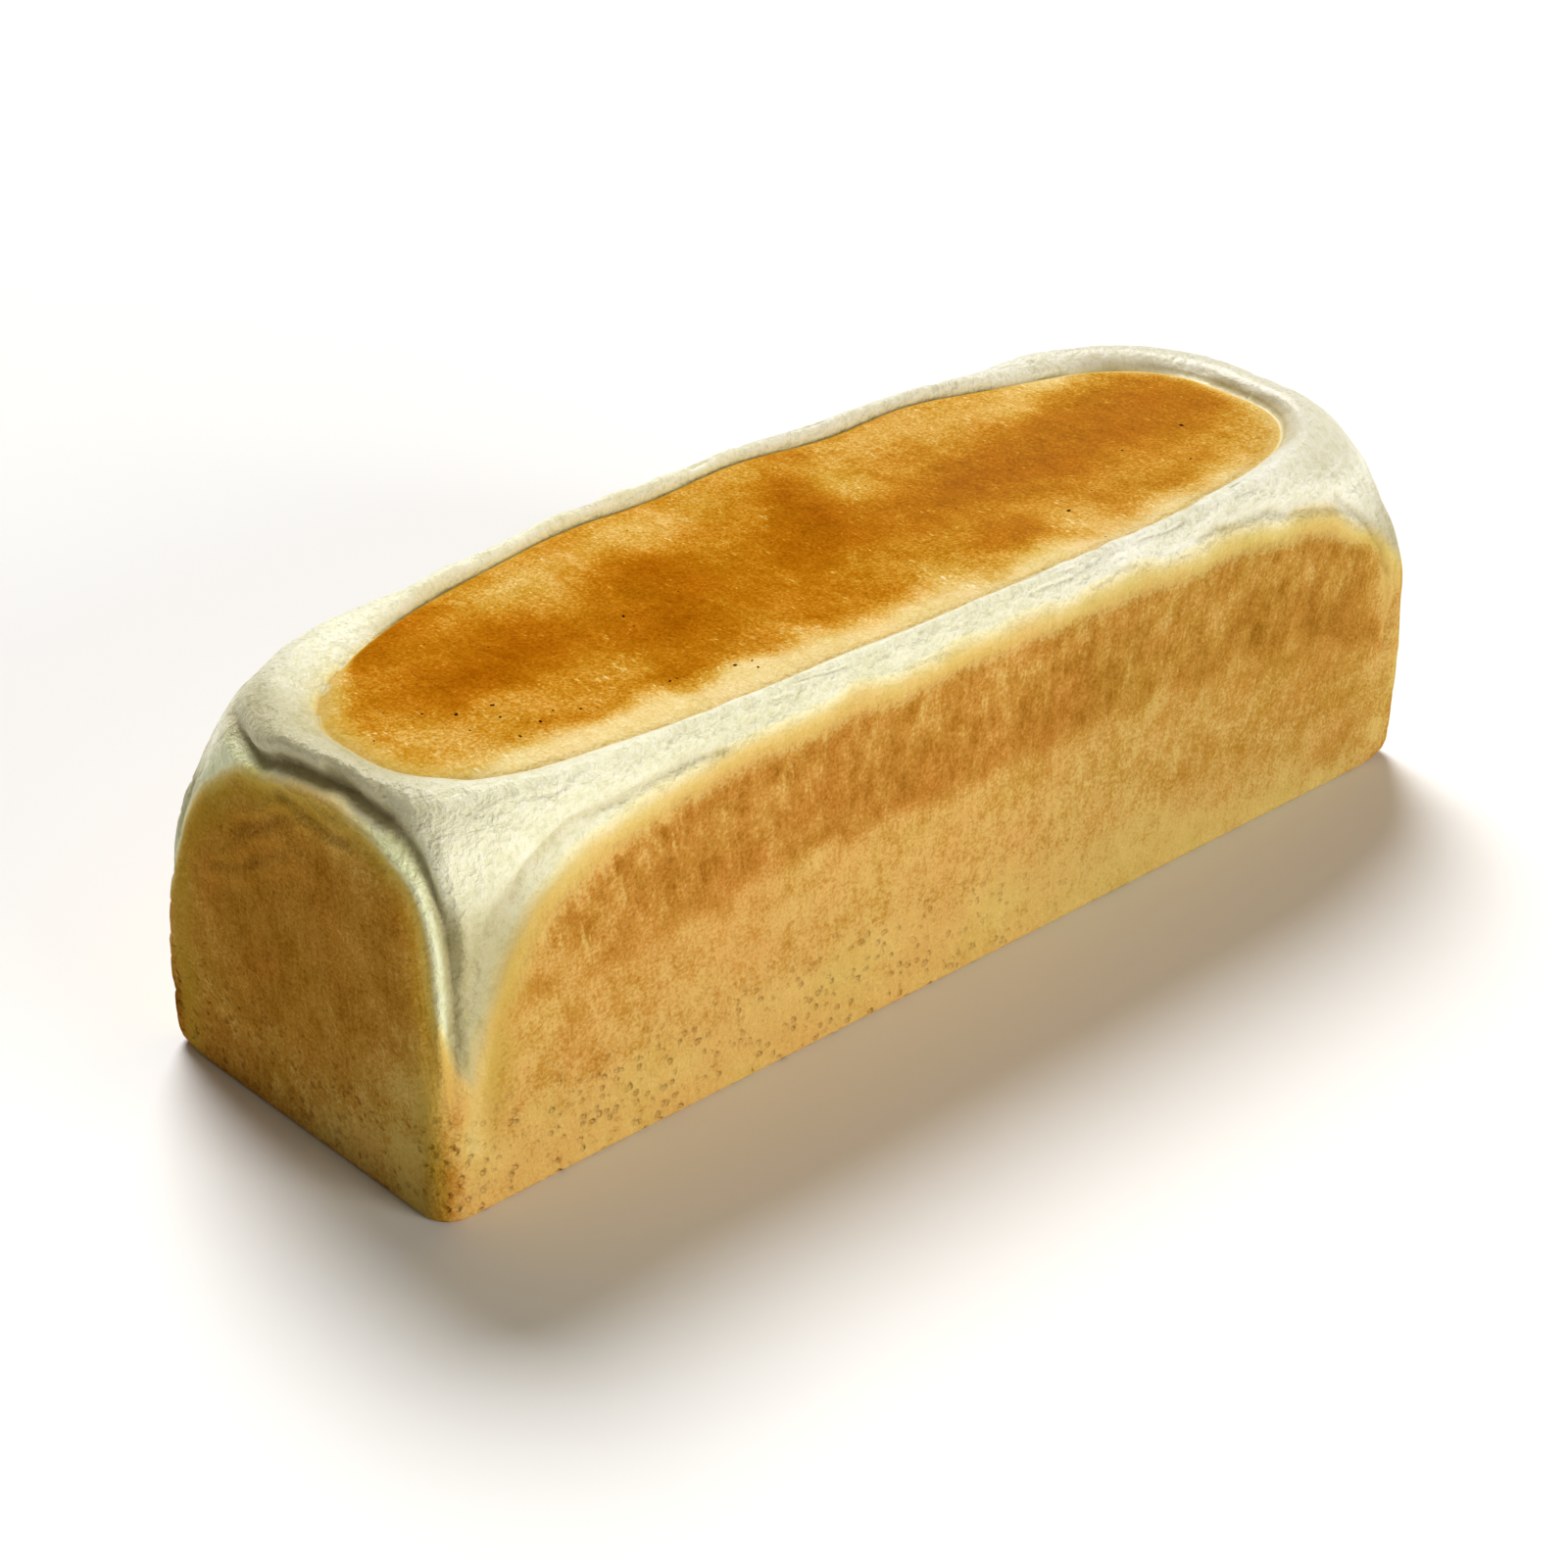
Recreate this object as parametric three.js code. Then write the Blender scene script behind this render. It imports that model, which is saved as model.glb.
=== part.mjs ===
// A tin loaf: an uncut white loaf baked in a long tin under a lid, as one solid.
// Millimetres, +Z up, the length along X, the origin at the middle of the base.
//
// The surface is built on rays that leave the loaf's centre line and meet three outlines:
// the wall that the tin gave, the crest of the pale rim, and the crease where the rim meets
// the flat brown panel that the lid gave. Profiles join the outlines, and the crust's ridges
// and creases are then raised or sunk along the surface normal.

import * as THREE from 'three';

// The walls: half sizes at the base, and how far each wall leans out for each mm of height.
const HALF_LENGTH = 156;
const HALF_WIDTH = 48.4;
const SIDE_LEAN = 0.0245;
const LEFT_LEAN = 0.028;
const RIGHT_LEAN = 0.015;

// The edge of the base: tight along the walls and rounder at the four corners.
const BASE_EDGE_RADIUS = 1.3;
const BASE_CORNER_EDGE_RADIUS = { frontLeft: 1.8, frontRight: 5, backLeft: 4, backRight: 4.5 };
const BASE_CORNER_REACH = 7;

// The upright corners: nearly square at the base, rounder towards the top.
const CORNER_RADIUS_BASE = { frontLeft: 6, frontRight: 4, backLeft: 3, backRight: 4 };
const CORNER_WIDENS_FROM = 18.5;
const CORNER_RADIUS_TOP = { frontLeft: 20, frontRight: 20.5, backLeft: 31, backRight: 15.5 };

// The brown panel on top: how far it reaches, and how square each quarter of its outline is.
const PANEL_HEIGHT = 92.7;
const PANEL_CENTRE_X = -5;
const PANEL_CENTRE_Y = -3;
const PANEL_REACH = { left: 139, right: 139.5, front: 40.6, back: 49 };
const PANEL_POWERS = {
  frontLeft: [4.5, 4.2],
  frontRight: [3.6, 3],
  backLeft: [2.2, 2],
  backRight: [3, 2.9],
};
const PANEL_EDGE_WAVE = 0.7;
const PANEL_EDGE_WAVELENGTH = 52;
const PANEL_SWELL = 0.45;
const PANEL_SWELL_LENGTH = 64;
const PANEL_SWELL_WIDTH = 40;

// The pale rim: the height of its crest, and how far the crest stands outside the panel.
const RIM_HEIGHT = { front: 94, back: 95.4, left: 96.9, right: 96.1 };
const RIM_WIDTH = { front: 1.6, back: 2.3, left: 8.6, right: 5.8 };
const RIM_CORNER_WIDTH = { frontLeft: 2, frontRight: 1.2, backLeft: 3.1, backRight: 2.6 };
const RIM_TOP = 97;
const RIM_END_STARTS = 0.6;
const RIM_SIDE_BLEND = 80;
const SMALLEST_SHOULDER = 2;
const SMALLEST_RIM = 0.5;

// The shoulder between wall and rim: how far down it starts, and its squareness.
const SHOULDER_DROP = 7.2;
const SHOULDER_DROP_PER_INSET = 1.57;
const SHOULDER_POWER = 1.7;

// The crease round the panel.
const CREASE_DEPTH = 0.7;
const CREASE_WIDTH = 2.2;

// The brown crust on each wall ends in an arch: its middle, its top, and towards the low and the
// high end of the wall its half span and the powers that shape its flank and its rise.
// Walls are measured as if unrolled round the corners.
const FRONT_ARCH = {
  middle: -24, top: 84.8, spans: [120, 166], flanks: [4.4, 4.7], rises: [4.8, 8],
};
const BACK_ARCH = {
  middle: -2, top: 85, spans: [146, 148], flanks: [3.8, 3.8], rises: [4, 5],
};
const LEFT_ARCH = {
  middle: -13.5, top: 90, spans: [36.5, 59], flanks: [2, 2], rises: [9.6, 3.5],
};
const RIGHT_ARCH = {
  middle: 4, top: 88, spans: [50, 46], flanks: [3, 3], rises: [3.2, 5],
};

// The lip that edges a wall's crust, the groove above it and the dough that rolls over the groove:
// each has its distance outside the arch, its half width and its height.
const SIDE_LIP = { at: 0.5, width: 2, height: 0.35 };
const SIDE_GROOVE = { at: 3.6, width: 1.7, height: -1 };
const END_LIP = { at: -1.4, width: 2.2, height: 1.2 };
const END_GROOVE = { at: 2.8, width: 2.4, height: -2.8 };
const END_ROLL = { at: 8, width: 3.6, height: 1.2 };
const SIDE_GROOVE_MIDDLE_STRENGTH = 0.25;
const SIDE_GROOVE_FADES_AT = 55;
const SIDE_GROOVE_FADE = 50;
const GROOVE_FOOT = 22;
const GROOVE_FULL_HEIGHT = 60;
const RIGHT_GROOVE_STRENGTH = 0.45;

// Near the front left corner the side's groove rises away from its arch.
const SIDE_GROOVE_RISES_FROM = -100;
const SIDE_GROOVE_RISES_OVER = 28;
const SIDE_GROOVE_RISE = 3.6;

// Towards the back the left end's groove leaves its arch and runs level into the corner.
const LEVEL_GROOVE_Z = 88.6;
const LEVEL_GROOVE_FROM = 0;
const LEVEL_GROOVE_BLEND = 14;
const LEVEL_GROOVE_FADES_FROM = 2;
const LEVEL_GROOVE_FADE = 46;

// Upright folds in the pale dough of each corner, at distances past the corner of the base.
const FOLD_PLACES = [4.5, 9.5];
const FOLD_WIDTH = 1.6;
const FOLD_DEPTH = 0.55;
const FOLD_FOOT = 26;
const FOLD_HEAD = 82;
const FOLD_FADE = 16;

// The mesh: steps along each wall and how much they crowd at its corners, and rings up it.
const SIDE_STEPS = 44;
const SIDE_CROWDING = 0.75;
const END_STEPS = 30;
const END_CROWDING = 0.45;
const EDGE_RINGS = 3;
const WALL_RINGS = 9;
const SHOULDER_RINGS = 14;
const RIM_RINGS = 3;
const RELIEF_FADE_RINGS = 4;
const PANEL_SHARES = [0.95, 0.85, 0.62, 0.34];
const SEARCH_REACH = 90;
const SEARCH_STEPS = 30;

const CRUST_COLOUR = 0xc88a3c;
const CRUST_ROUGHNESS = 0.62;

// ---- small helpers ----

const clamp = (value, low, high) => Math.min(Math.max(value, low), high);

function smoothStep(value) {
  const t = clamp(value, 0, 1);
  return t * t * (3 - 2 * t);
}

const ridge = (distance, shape) =>
  shape.height * Math.exp(-(((distance - shape.at) / shape.width) ** 2));

function quarterOf(table, isLeft, isFront) {
  if (isFront) {
    return isLeft ? table.frontLeft : table.frontRight;
  }
  return isLeft ? table.backLeft : table.backRight;
}

// ---- outlines: each is negative inside, zero on the outline ----

function wallOutline(x, y, z) {
  const halfLength = HALF_LENGTH + (x < 0 ? LEFT_LEAN : RIGHT_LEAN) * z;
  const halfWidth = HALF_WIDTH + SIDE_LEAN * z;
  const growth = smoothStep((z - CORNER_WIDENS_FROM) / (RIM_TOP - CORNER_WIDENS_FROM));
  const baseRadius = quarterOf(CORNER_RADIUS_BASE, x < 0, y < 0);
  const topRadius = quarterOf(CORNER_RADIUS_TOP, x < 0, y < 0);
  const radius = baseRadius + (topRadius - baseRadius) * growth;
  const overX = Math.abs(x) - halfLength + radius;
  const overY = Math.abs(y) - halfWidth + radius;
  const outside = Math.hypot(Math.max(overX, 0), Math.max(overY, 0));
  return outside + Math.min(Math.max(overX, overY), 0) - radius;
}

function panelOutline(x, y) {
  const wave = PANEL_EDGE_WAVE * Math.sin((2 * Math.PI * x) / PANEL_EDGE_WAVELENGTH);
  const alongX = x - PANEL_CENTRE_X;
  const alongY = y - PANEL_CENTRE_Y;
  const reachX = alongX < 0 ? PANEL_REACH.left : PANEL_REACH.right;
  const reachY = alongY < 0 ? PANEL_REACH.front : PANEL_REACH.back + wave;
  const [powerX, powerY] = quarterOf(PANEL_POWERS, alongX < 0, alongY < 0);
  return Math.abs(alongX / reachX) ** powerX + Math.abs(alongY / reachY) ** powerY - 1;
}

// The distance along a ray at which it leaves an outline, by halving the interval.
function reachOf(ray, outline) {
  let near = 0;
  let far = SEARCH_REACH;
  for (let step = 0; step < SEARCH_STEPS; step += 1) {
    const middle = (near + far) / 2;
    if (outline(ray.x + ray.dx * middle, ray.dy * middle) < 0) {
      near = middle;
    } else {
      far = middle;
    }
  }
  return (near + far) / 2;
}

// ---- rays round the loaf, counter-clockwise seen from above, from the front left corner ----

// Distances along one wall of the base, crowded towards both corners.
function wallStations(length, steps, crowding) {
  return Array.from({ length: steps }, (_, i) => {
    const share = i / steps;
    return length * (share - (crowding * Math.sin(2 * Math.PI * share)) / (2 * Math.PI));
  });
}

// A ray aims at a point of the square base outline. It also keeps that point's place on the
// side wall and on the end wall, each unrolled round the corner.
function rayTo(targetX, targetY) {
  const centreEnd = HALF_LENGTH - HALF_WIDTH;
  const x = clamp(targetX, -centreEnd, centreEnd);
  const length = Math.hypot(targetX - x, targetY);
  const pastSide = HALF_WIDTH - Math.abs(targetY);
  const pastEnd = HALF_LENGTH - Math.abs(targetX);
  return {
    x,
    dx: (targetX - x) / length,
    dy: targetY / length,
    isLeft: targetX < 0,
    isFront: targetY < 0,
    sidePlace: Math.sign(targetX) * (Math.abs(targetX) + pastSide),
    endPlace: Math.sign(targetY) * (Math.abs(targetY) + pastEnd),
    pastCorner: pastEnd + pastSide,
  };
}

function raysRound() {
  const length = 2 * HALF_LENGTH;
  const width = 2 * HALF_WIDTH;
  const along = wallStations(length, SIDE_STEPS, SIDE_CROWDING);
  const across = wallStations(width, END_STEPS, END_CROWDING);
  return [
    ...along.map((s) => rayTo(-HALF_LENGTH + s, -HALF_WIDTH)),
    ...across.map((s) => rayTo(HALF_LENGTH, -HALF_WIDTH + s)),
    ...along.map((s) => rayTo(HALF_LENGTH - s, HALF_WIDTH)),
    ...across.map((s) => rayTo(-HALF_LENGTH, HALF_WIDTH - s)),
  ];
}

// ---- profiles up one ray ----

// What the rim measures at one ray: its side values, changing to its end values near the ends.
function rimShape(ray, crease) {
  const x = ray.x + ray.dx * crease;
  const y = ray.dy * crease;
  const endReach = Math.abs(x - PANEL_CENTRE_X) / PANEL_REACH.left;
  const endShare = smoothStep((endReach - RIM_END_STARTS) / (1 - RIM_END_STARTS));
  const backShare = smoothStep(y / RIM_SIDE_BLEND + 1 / 2);
  const mixed = (table) => {
    const side = table.front + (table.back - table.front) * backShare;
    const end = ray.isLeft ? table.left : table.right;
    return side + (end - side) * endShare;
  };
  const cornerShare = 4 * endShare * (1 - endShare);
  const extra = cornerShare * quarterOf(RIM_CORNER_WIDTH, ray.isLeft, ray.isFront);
  return { height: mixed(RIM_HEIGHT), width: mixed(RIM_WIDTH) + extra };
}

function baseEdgeRadius(ray) {
  const cornerRadius = quarterOf(BASE_CORNER_EDGE_RADIUS, ray.isLeft, ray.isFront);
  const share = Math.exp(-((ray.pastCorner / BASE_CORNER_REACH) ** 2));
  return BASE_EDGE_RADIUS + (cornerRadius - BASE_EDGE_RADIUS) * share;
}

function pointOn(ray, distance, z) {
  return [ray.x + ray.dx * distance, ray.dy * distance, z];
}

function wallPoint(ray, z, inset) {
  return pointOn(ray, reachOf(ray, (x, y) => wallOutline(x, y, z)) - inset, z);
}

function panelPoint(ray, distance) {
  const [x, y] = pointOn(ray, distance, 0);
  const swell = Math.sin((2 * Math.PI * x) / PANEL_SWELL_LENGTH + y / PANEL_SWELL_WIDTH);
  return [x, y, PANEL_HEIGHT + PANEL_SWELL * swell];
}

// The points up one ray, from the base edge over the shoulder and rim to the panel's middle.
function profileUp(ray) {
  const top = reachOf(ray, (x, y) => wallOutline(x, y, RIM_TOP));
  const panelEdge = reachOf(ray, panelOutline);
  const rim = rimShape(ray, panelEdge);
  const crest = Math.min(panelEdge + rim.width, top - SMALLEST_SHOULDER);
  const crease = Math.min(panelEdge, crest - SMALLEST_RIM);
  const drop = SHOULDER_DROP + SHOULDER_DROP_PER_INSET * (top - crest);
  const shoulderFoot = rim.height - drop;
  const edgeRadius = baseEdgeRadius(ray);
  const points = [];

  for (let i = 0; i < EDGE_RINGS; i += 1) {
    const angle = ((Math.PI / 2) * i) / EDGE_RINGS;
    const inset = edgeRadius * (1 - Math.sin(angle));
    points.push(wallPoint(ray, edgeRadius * (1 - Math.cos(angle)), inset));
  }
  for (let i = 0; i < WALL_RINGS; i += 1) {
    const z = edgeRadius + ((shoulderFoot - edgeRadius) * i) / WALL_RINGS;
    points.push(wallPoint(ray, z, 0));
  }
  for (let i = 0; i < SHOULDER_RINGS; i += 1) {
    const angle = ((Math.PI / 2) * i) / SHOULDER_RINGS;
    const z = shoulderFoot + drop * Math.sin(angle) ** (2 / SHOULDER_POWER);
    const wall = reachOf(ray, (x, y) => wallOutline(x, y, z));
    const outwards = Math.cos(angle) ** (2 / SHOULDER_POWER);
    points.push(pointOn(ray, crest + (wall - crest) * outwards, z));
  }
  const fall = rim.height - panelPoint(ray, crease)[2];
  for (let i = 0; i < RIM_RINGS; i += 1) {
    const share = i / RIM_RINGS;
    points.push(pointOn(ray, crest + (crease - crest) * share, rim.height - fall * share ** 2));
  }
  const [creaseX, creaseY, creaseZ] = panelPoint(ray, crease);
  points.push([creaseX, creaseY, creaseZ - CREASE_DEPTH]);
  points.push(panelPoint(ray, crease - CREASE_WIDTH));
  for (const share of PANEL_SHARES) {
    points.push(panelPoint(ray, (crease - CREASE_WIDTH) * share));
  }
  return points;
}

// ---- relief of the walls' crust ----

// The distance from a wall's arch, in mm, positive above and outside it.
function distanceFromArch(place, z, arch) {
  const half = place < arch.middle ? 0 : 1;
  const span = arch.spans[half];
  const flank = arch.flanks[half];
  const rise = arch.rises[half];
  const across = Math.abs(place - arch.middle) / span;
  const up = Math.max(z, 0) / arch.top;
  const value = across ** flank + up ** rise - 1;
  const slopeAcross = (flank * across ** (flank - 1)) / span;
  const slopeUp = (rise * up ** (rise - 1)) / arch.top;
  return value / Math.hypot(slopeAcross, slopeUp);
}

function sideRelief(ray, z) {
  const distance = distanceFromArch(ray.sidePlace, z, ray.isFront ? FRONT_ARCH : BACK_ARCH);
  const towardsEnd = smoothStep((Math.abs(ray.sidePlace) - SIDE_GROOVE_FADES_AT) / SIDE_GROOVE_FADE);
  const strength = SIDE_GROOVE_MIDDLE_STRENGTH + (1 - SIDE_GROOVE_MIDDLE_STRENGTH) * towardsEnd;
  const rising = smoothStep((SIDE_GROOVE_RISES_FROM - ray.sidePlace) / SIDE_GROOVE_RISES_OVER);
  const grooveDistance = distance - SIDE_GROOVE_RISE * rising;
  return strength * (ridge(distance, SIDE_LIP) + ridge(grooveDistance, SIDE_GROOVE));
}

// The left end's bands follow its arch, and a level line towards the back.
function distanceFromLeftGuide(ray, z) {
  const fromArch = distanceFromArch(ray.endPlace, z, LEFT_ARCH);
  const fromLevel = z - LEVEL_GROOVE_Z + END_GROOVE.at;
  const levelShare = smoothStep((ray.endPlace - LEVEL_GROOVE_FROM) / LEVEL_GROOVE_BLEND);
  return fromArch + (fromLevel - fromArch) * levelShare;
}

function endRelief(ray, z) {
  const distance = ray.isLeft
    ? distanceFromLeftGuide(ray, z)
    : distanceFromArch(ray.endPlace, z, RIGHT_ARCH);
  const leftFade = smoothStep((ray.endPlace - LEVEL_GROOVE_FADES_FROM) / LEVEL_GROOVE_FADE);
  const strength = ray.isLeft ? 1 - leftFade : RIGHT_GROOVE_STRENGTH;
  const bands = ridge(distance, END_LIP) + ridge(distance, END_GROOVE) + ridge(distance, END_ROLL);
  return strength * bands;
}

function foldRelief(ray, z) {
  const fadeIn = smoothStep((z - FOLD_FOOT) / FOLD_FADE);
  const fadeOut = smoothStep((FOLD_HEAD - z) / FOLD_FADE);
  const depth = FOLD_PLACES.reduce((sum, at) => {
    const fold = { at, width: FOLD_WIDTH, height: -FOLD_DEPTH };
    return sum + ridge(ray.pastCorner, fold);
  }, 0);
  return depth * fadeIn * fadeOut;
}

// How far a wall or shoulder point moves along its normal. The share is 1 on the wall and falls
// to 0 at the rim's crest.
function reliefAt(ray, z, share) {
  const foot = smoothStep((z - GROOVE_FOOT) / (GROOVE_FULL_HEIGHT - GROOVE_FOOT));
  const grooves = foot * (sideRelief(ray, z) + endRelief(ray, z));
  return share * (grooves + foldRelief(ray, z));
}

// ---- the closed mesh ----

// Vertex numbers of the centre line: rays from the same centre point share one vertex.
function centreLine(rays, height, firstIndex) {
  const numbers = new Map();
  const points = [];
  const indices = rays.map((ray) => {
    const key = ray.x.toFixed(3);
    if (!numbers.has(key)) {
      numbers.set(key, firstIndex + points.length);
      points.push([ray.x, 0, height(ray)]);
    }
    return numbers.get(key);
  });
  return { points, indices };
}

function addTriangle(triangles, a, b, c) {
  if (a !== b && b !== c && c !== a) {
    triangles.push(a, b, c);
  }
}

// A band of triangles between two rings of vertex numbers. Each four-sided cell is split along
// the diagonal whose ends have the more equal relief, so that grooves run along edges.
function addBand(triangles, lower, upper, relief) {
  const step = (a, b) => Math.abs((relief[a] ?? 0) - (relief[b] ?? 0));
  lower.forEach((_, i) => {
    const next = (i + 1) % lower.length;
    if (step(lower[i], upper[next]) <= step(lower[next], upper[i])) {
      addTriangle(triangles, lower[i], lower[next], upper[next]);
      addTriangle(triangles, lower[i], upper[next], upper[i]);
    } else {
      addTriangle(triangles, lower[i], lower[next], upper[i]);
      addTriangle(triangles, lower[next], upper[next], upper[i]);
    }
  });
}

// The relief at every ring vertex: none on the base edge, the rim's inner side and the panel.
function reliefOfRings(rays, rings) {
  const crestRing = EDGE_RINGS + WALL_RINGS + SHOULDER_RINGS;
  return rings.flatMap((ring, level) =>
    ring.map(([, , z], i) => {
      if (level < EDGE_RINGS || level >= crestRing) {
        return 0;
      }
      return reliefAt(rays[i], z, smoothStep((crestRing - level) / RELIEF_FADE_RINGS));
    }),
  );
}

// Moves each vertex along its normal by its relief.
function raiseRelief(geometry, relief) {
  const position = geometry.attributes.position;
  const normal = geometry.attributes.normal;
  relief.forEach((height, vertex) => {
    position.setXYZ(
      vertex,
      position.getX(vertex) + normal.getX(vertex) * height,
      position.getY(vertex) + normal.getY(vertex) * height,
      position.getZ(vertex) + normal.getZ(vertex) * height,
    );
  });
  geometry.computeVertexNormals();
}

function loafGeometry() {
  const rays = raysRound();
  const profiles = rays.map(profileUp);
  const rings = profiles[0].map((_, level) => profiles.map((profile) => profile[level]));
  const relief = reliefOfRings(rays, rings);
  const ringIndices = rings.map((ring, level) => ring.map((_, i) => level * rays.length + i));
  const under = centreLine(rays, () => 0, relief.length);
  const over = centreLine(rays, (ray) => panelPoint(ray, 0)[2], relief.length + under.points.length);

  const triangles = [];
  const levels = [under.indices, ...ringIndices, over.indices];
  for (let level = 1; level < levels.length; level += 1) {
    addBand(triangles, levels[level - 1], levels[level], relief);
  }

  const positions = [...rings.flat(), ...under.points, ...over.points].flat();
  const geometry = new THREE.BufferGeometry();
  geometry.setAttribute('position', new THREE.Float32BufferAttribute(positions, 3));
  geometry.setIndex(triangles);
  geometry.computeVertexNormals();
  raiseRelief(geometry, relief);
  return geometry;
}

const crust = new THREE.MeshStandardMaterial({
  color: CRUST_COLOUR,
  roughness: CRUST_ROUGHNESS,
  metalness: 0,
});

const loaf = new THREE.Mesh(loafGeometry(), crust);
loaf.name = 'loaf';

const tinLoaf = new THREE.Group();
tinLoaf.add(loaf);

export default tinLoaf;
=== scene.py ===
"""A tin loaf: its crust in fine relief, browned where the tin touched it and pale where it didn't."""

import itertools
import math
from types import SimpleNamespace

import bpy
import numpy as np
from mathutils import Matrix, Vector


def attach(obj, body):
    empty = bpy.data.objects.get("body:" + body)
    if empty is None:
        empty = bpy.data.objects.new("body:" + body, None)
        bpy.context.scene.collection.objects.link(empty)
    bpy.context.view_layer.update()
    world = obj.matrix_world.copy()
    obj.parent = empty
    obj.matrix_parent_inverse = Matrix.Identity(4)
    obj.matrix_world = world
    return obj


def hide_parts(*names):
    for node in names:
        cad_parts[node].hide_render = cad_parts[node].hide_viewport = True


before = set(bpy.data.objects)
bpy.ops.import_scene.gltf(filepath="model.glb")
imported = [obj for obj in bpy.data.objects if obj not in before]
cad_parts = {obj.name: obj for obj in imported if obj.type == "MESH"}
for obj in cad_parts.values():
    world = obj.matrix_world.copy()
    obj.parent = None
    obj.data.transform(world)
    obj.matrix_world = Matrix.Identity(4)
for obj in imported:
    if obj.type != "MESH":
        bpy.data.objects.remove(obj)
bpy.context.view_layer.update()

MM = 0.001

# ----------
# The form, in millimetres, with the same values as the loaf's solid

HALF_LENGTH = 156
HALF_WIDTH = 48.4
SIDE_LEAN = 0.0245
LEFT_LEAN = 0.028
RIGHT_LEAN = 0.015

BASE_EDGE_RADIUS = 1.3
BASE_CORNER_EDGE_RADIUS = {"front_left": 1.8, "front_right": 5, "back_left": 4, "back_right": 4.5}
BASE_CORNER_REACH = 7

CORNER_RADIUS_BASE = {"front_left": 6, "front_right": 4, "back_left": 3, "back_right": 4}
CORNER_WIDENS_FROM = 18.5
CORNER_RADIUS_TOP = {"front_left": 20, "front_right": 20.5, "back_left": 31, "back_right": 15.5}

PANEL_HEIGHT = 92.7
PANEL_CENTRE = (-5, -3)
PANEL_REACH = {"left": 139, "right": 139.5, "front": 40.6, "back": 49}
PANEL_POWER_X = {"front_left": 4.5, "front_right": 3.6, "back_left": 2.2, "back_right": 3}
PANEL_POWER_Y = {"front_left": 4.2, "front_right": 3, "back_left": 2, "back_right": 2.9}
PANEL_EDGE_WAVE = 0.7
PANEL_EDGE_WAVELENGTH = 52
PANEL_SWELL = 0.45
PANEL_SWELL_LENGTH = 64
PANEL_SWELL_WIDTH = 40

RIM_HEIGHT = {"front": 94, "back": 95.4, "left": 96.9, "right": 96.1}
RIM_WIDTH = {"front": 1.6, "back": 2.3, "left": 8.6, "right": 5.8}
RIM_CORNER_WIDTH = {"front_left": 2, "front_right": 1.2, "back_left": 3.1, "back_right": 2.6}
RIM_TOP = 97
RIM_END_STARTS = 0.6
RIM_SIDE_BLEND = 80
SMALLEST_SHOULDER = 2
SMALLEST_RIM = 0.5

SHOULDER_DROP = 7.2
SHOULDER_DROP_PER_INSET = 1.57
SHOULDER_POWER = 1.7

CREASE_DEPTH = 0.7
CREASE_WIDTH = 2.2

FRONT_ARCH = {"middle": -24, "top": 84.8, "spans": (120, 166), "flanks": (4.4, 4.7), "rises": (4.8, 8)}
BACK_ARCH = {"middle": -2, "top": 85, "spans": (146, 148), "flanks": (3.8, 3.8), "rises": (4, 5)}
LEFT_ARCH = {"middle": -13.5, "top": 90, "spans": (36.5, 59), "flanks": (2, 2), "rises": (9.6, 3.5)}
RIGHT_ARCH = {"middle": 4, "top": 88, "spans": (50, 46), "flanks": (3, 3), "rises": (3.2, 5)}

SIDE_LIP = {"at": 0.5, "width": 2, "height": 0.35}
SIDE_GROOVE = {"at": 3.6, "width": 1.2, "height": -0.7}
SIDE_ROLL = {"at": 6.5, "width": 2.4, "height": 0.2}
END_LIP = {"at": -0.6, "width": 2, "height": 1.2}
END_GROOVE = {"at": 2.8, "width": 0.95, "height": -3.6}
END_ROLL = {"at": 7, "width": 3.4, "height": 1.5}

# Spans are (where it starts, where it is full), and the second may be the lower one.
# Bands are (start, full from, full to, end).
SIDE_GROOVE_MIDDLE = 0.25
SIDE_GROOVE_DEEPENS = (55, 105)
SIDE_GROOVE_RISES = (-100, -128)
SIDE_GROOVE_RISE = 3.6
RIGHT_GROOVE_STRENGTH = 0.45
GROOVE_HEIGHT = (22, 60)
LEVEL_GROOVE_Z = 88.6
LEVEL_GROOVE_STARTS = (0, 14)
LEVEL_GROOVE_STAYS = (48, 2)

FOLD_PLACES = (4.5, 9.5)
FOLD_WIDTH = 1.4
FOLD_DEPTH = 0.6
FOLD_BAND = (26, 42, 66, 82)

# ----------
# The fine mesh: steps along each wall, their crowding at its corners, and rings from base to middle

SIDE_STEPS = 210
SIDE_CROWDING = 0.5
END_STEPS = 100
END_CROWDING = 0.3
EDGE_RINGS = 4
WALL_RINGS = 62
SHOULDER_RINGS = 44
RIM_RINGS = 9
CREASE_RINGS = 3
PANEL_RINGS = 27
RELIEF_FADE_RINGS = 12
SEARCH_REACH = 90
SEARCH_STEPS = 30

# ----------
# Fine relief, in millimetres. Each noise in a wander is (size along, size up, height, seed), each one
# in dimples is (size, height, seed), and blotches are (size, push, seed).

GROOVE_WANDER = ((11, 25, 0.7, 1), (4, 9, 0.35, 2))
GROOVE_DEEPENS = (58, 84)
GROOVE_LOW_SHARE = 0.3
FOLD_WANDER = ((30, 9, 0.8, 3),)
SKIN_DIMPLES = ((9, 0.42, 4), (4, 0.14, 5))
SKIN_WRINKLES = {"size": (9, 5, 5), "seed": 6, "width": 0.12, "height": 0.5}
SKIN_PAST_ARCH = (-1, 2)
SKIN_FADE = 1.5
CRUST_DIMPLES = ((5, 0.1, 8), (2.4, 0.1, 9))
PANEL_DIMPLES = ((9, 0.14, 12), (3, 0.14 / 3, 13))
WALL_WRINKLES = {"size": (4, 30, 17), "seed": 10, "width": 0.25, "height": 0.3}
WRINKLE_BREAK_SIZE = 3
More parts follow.
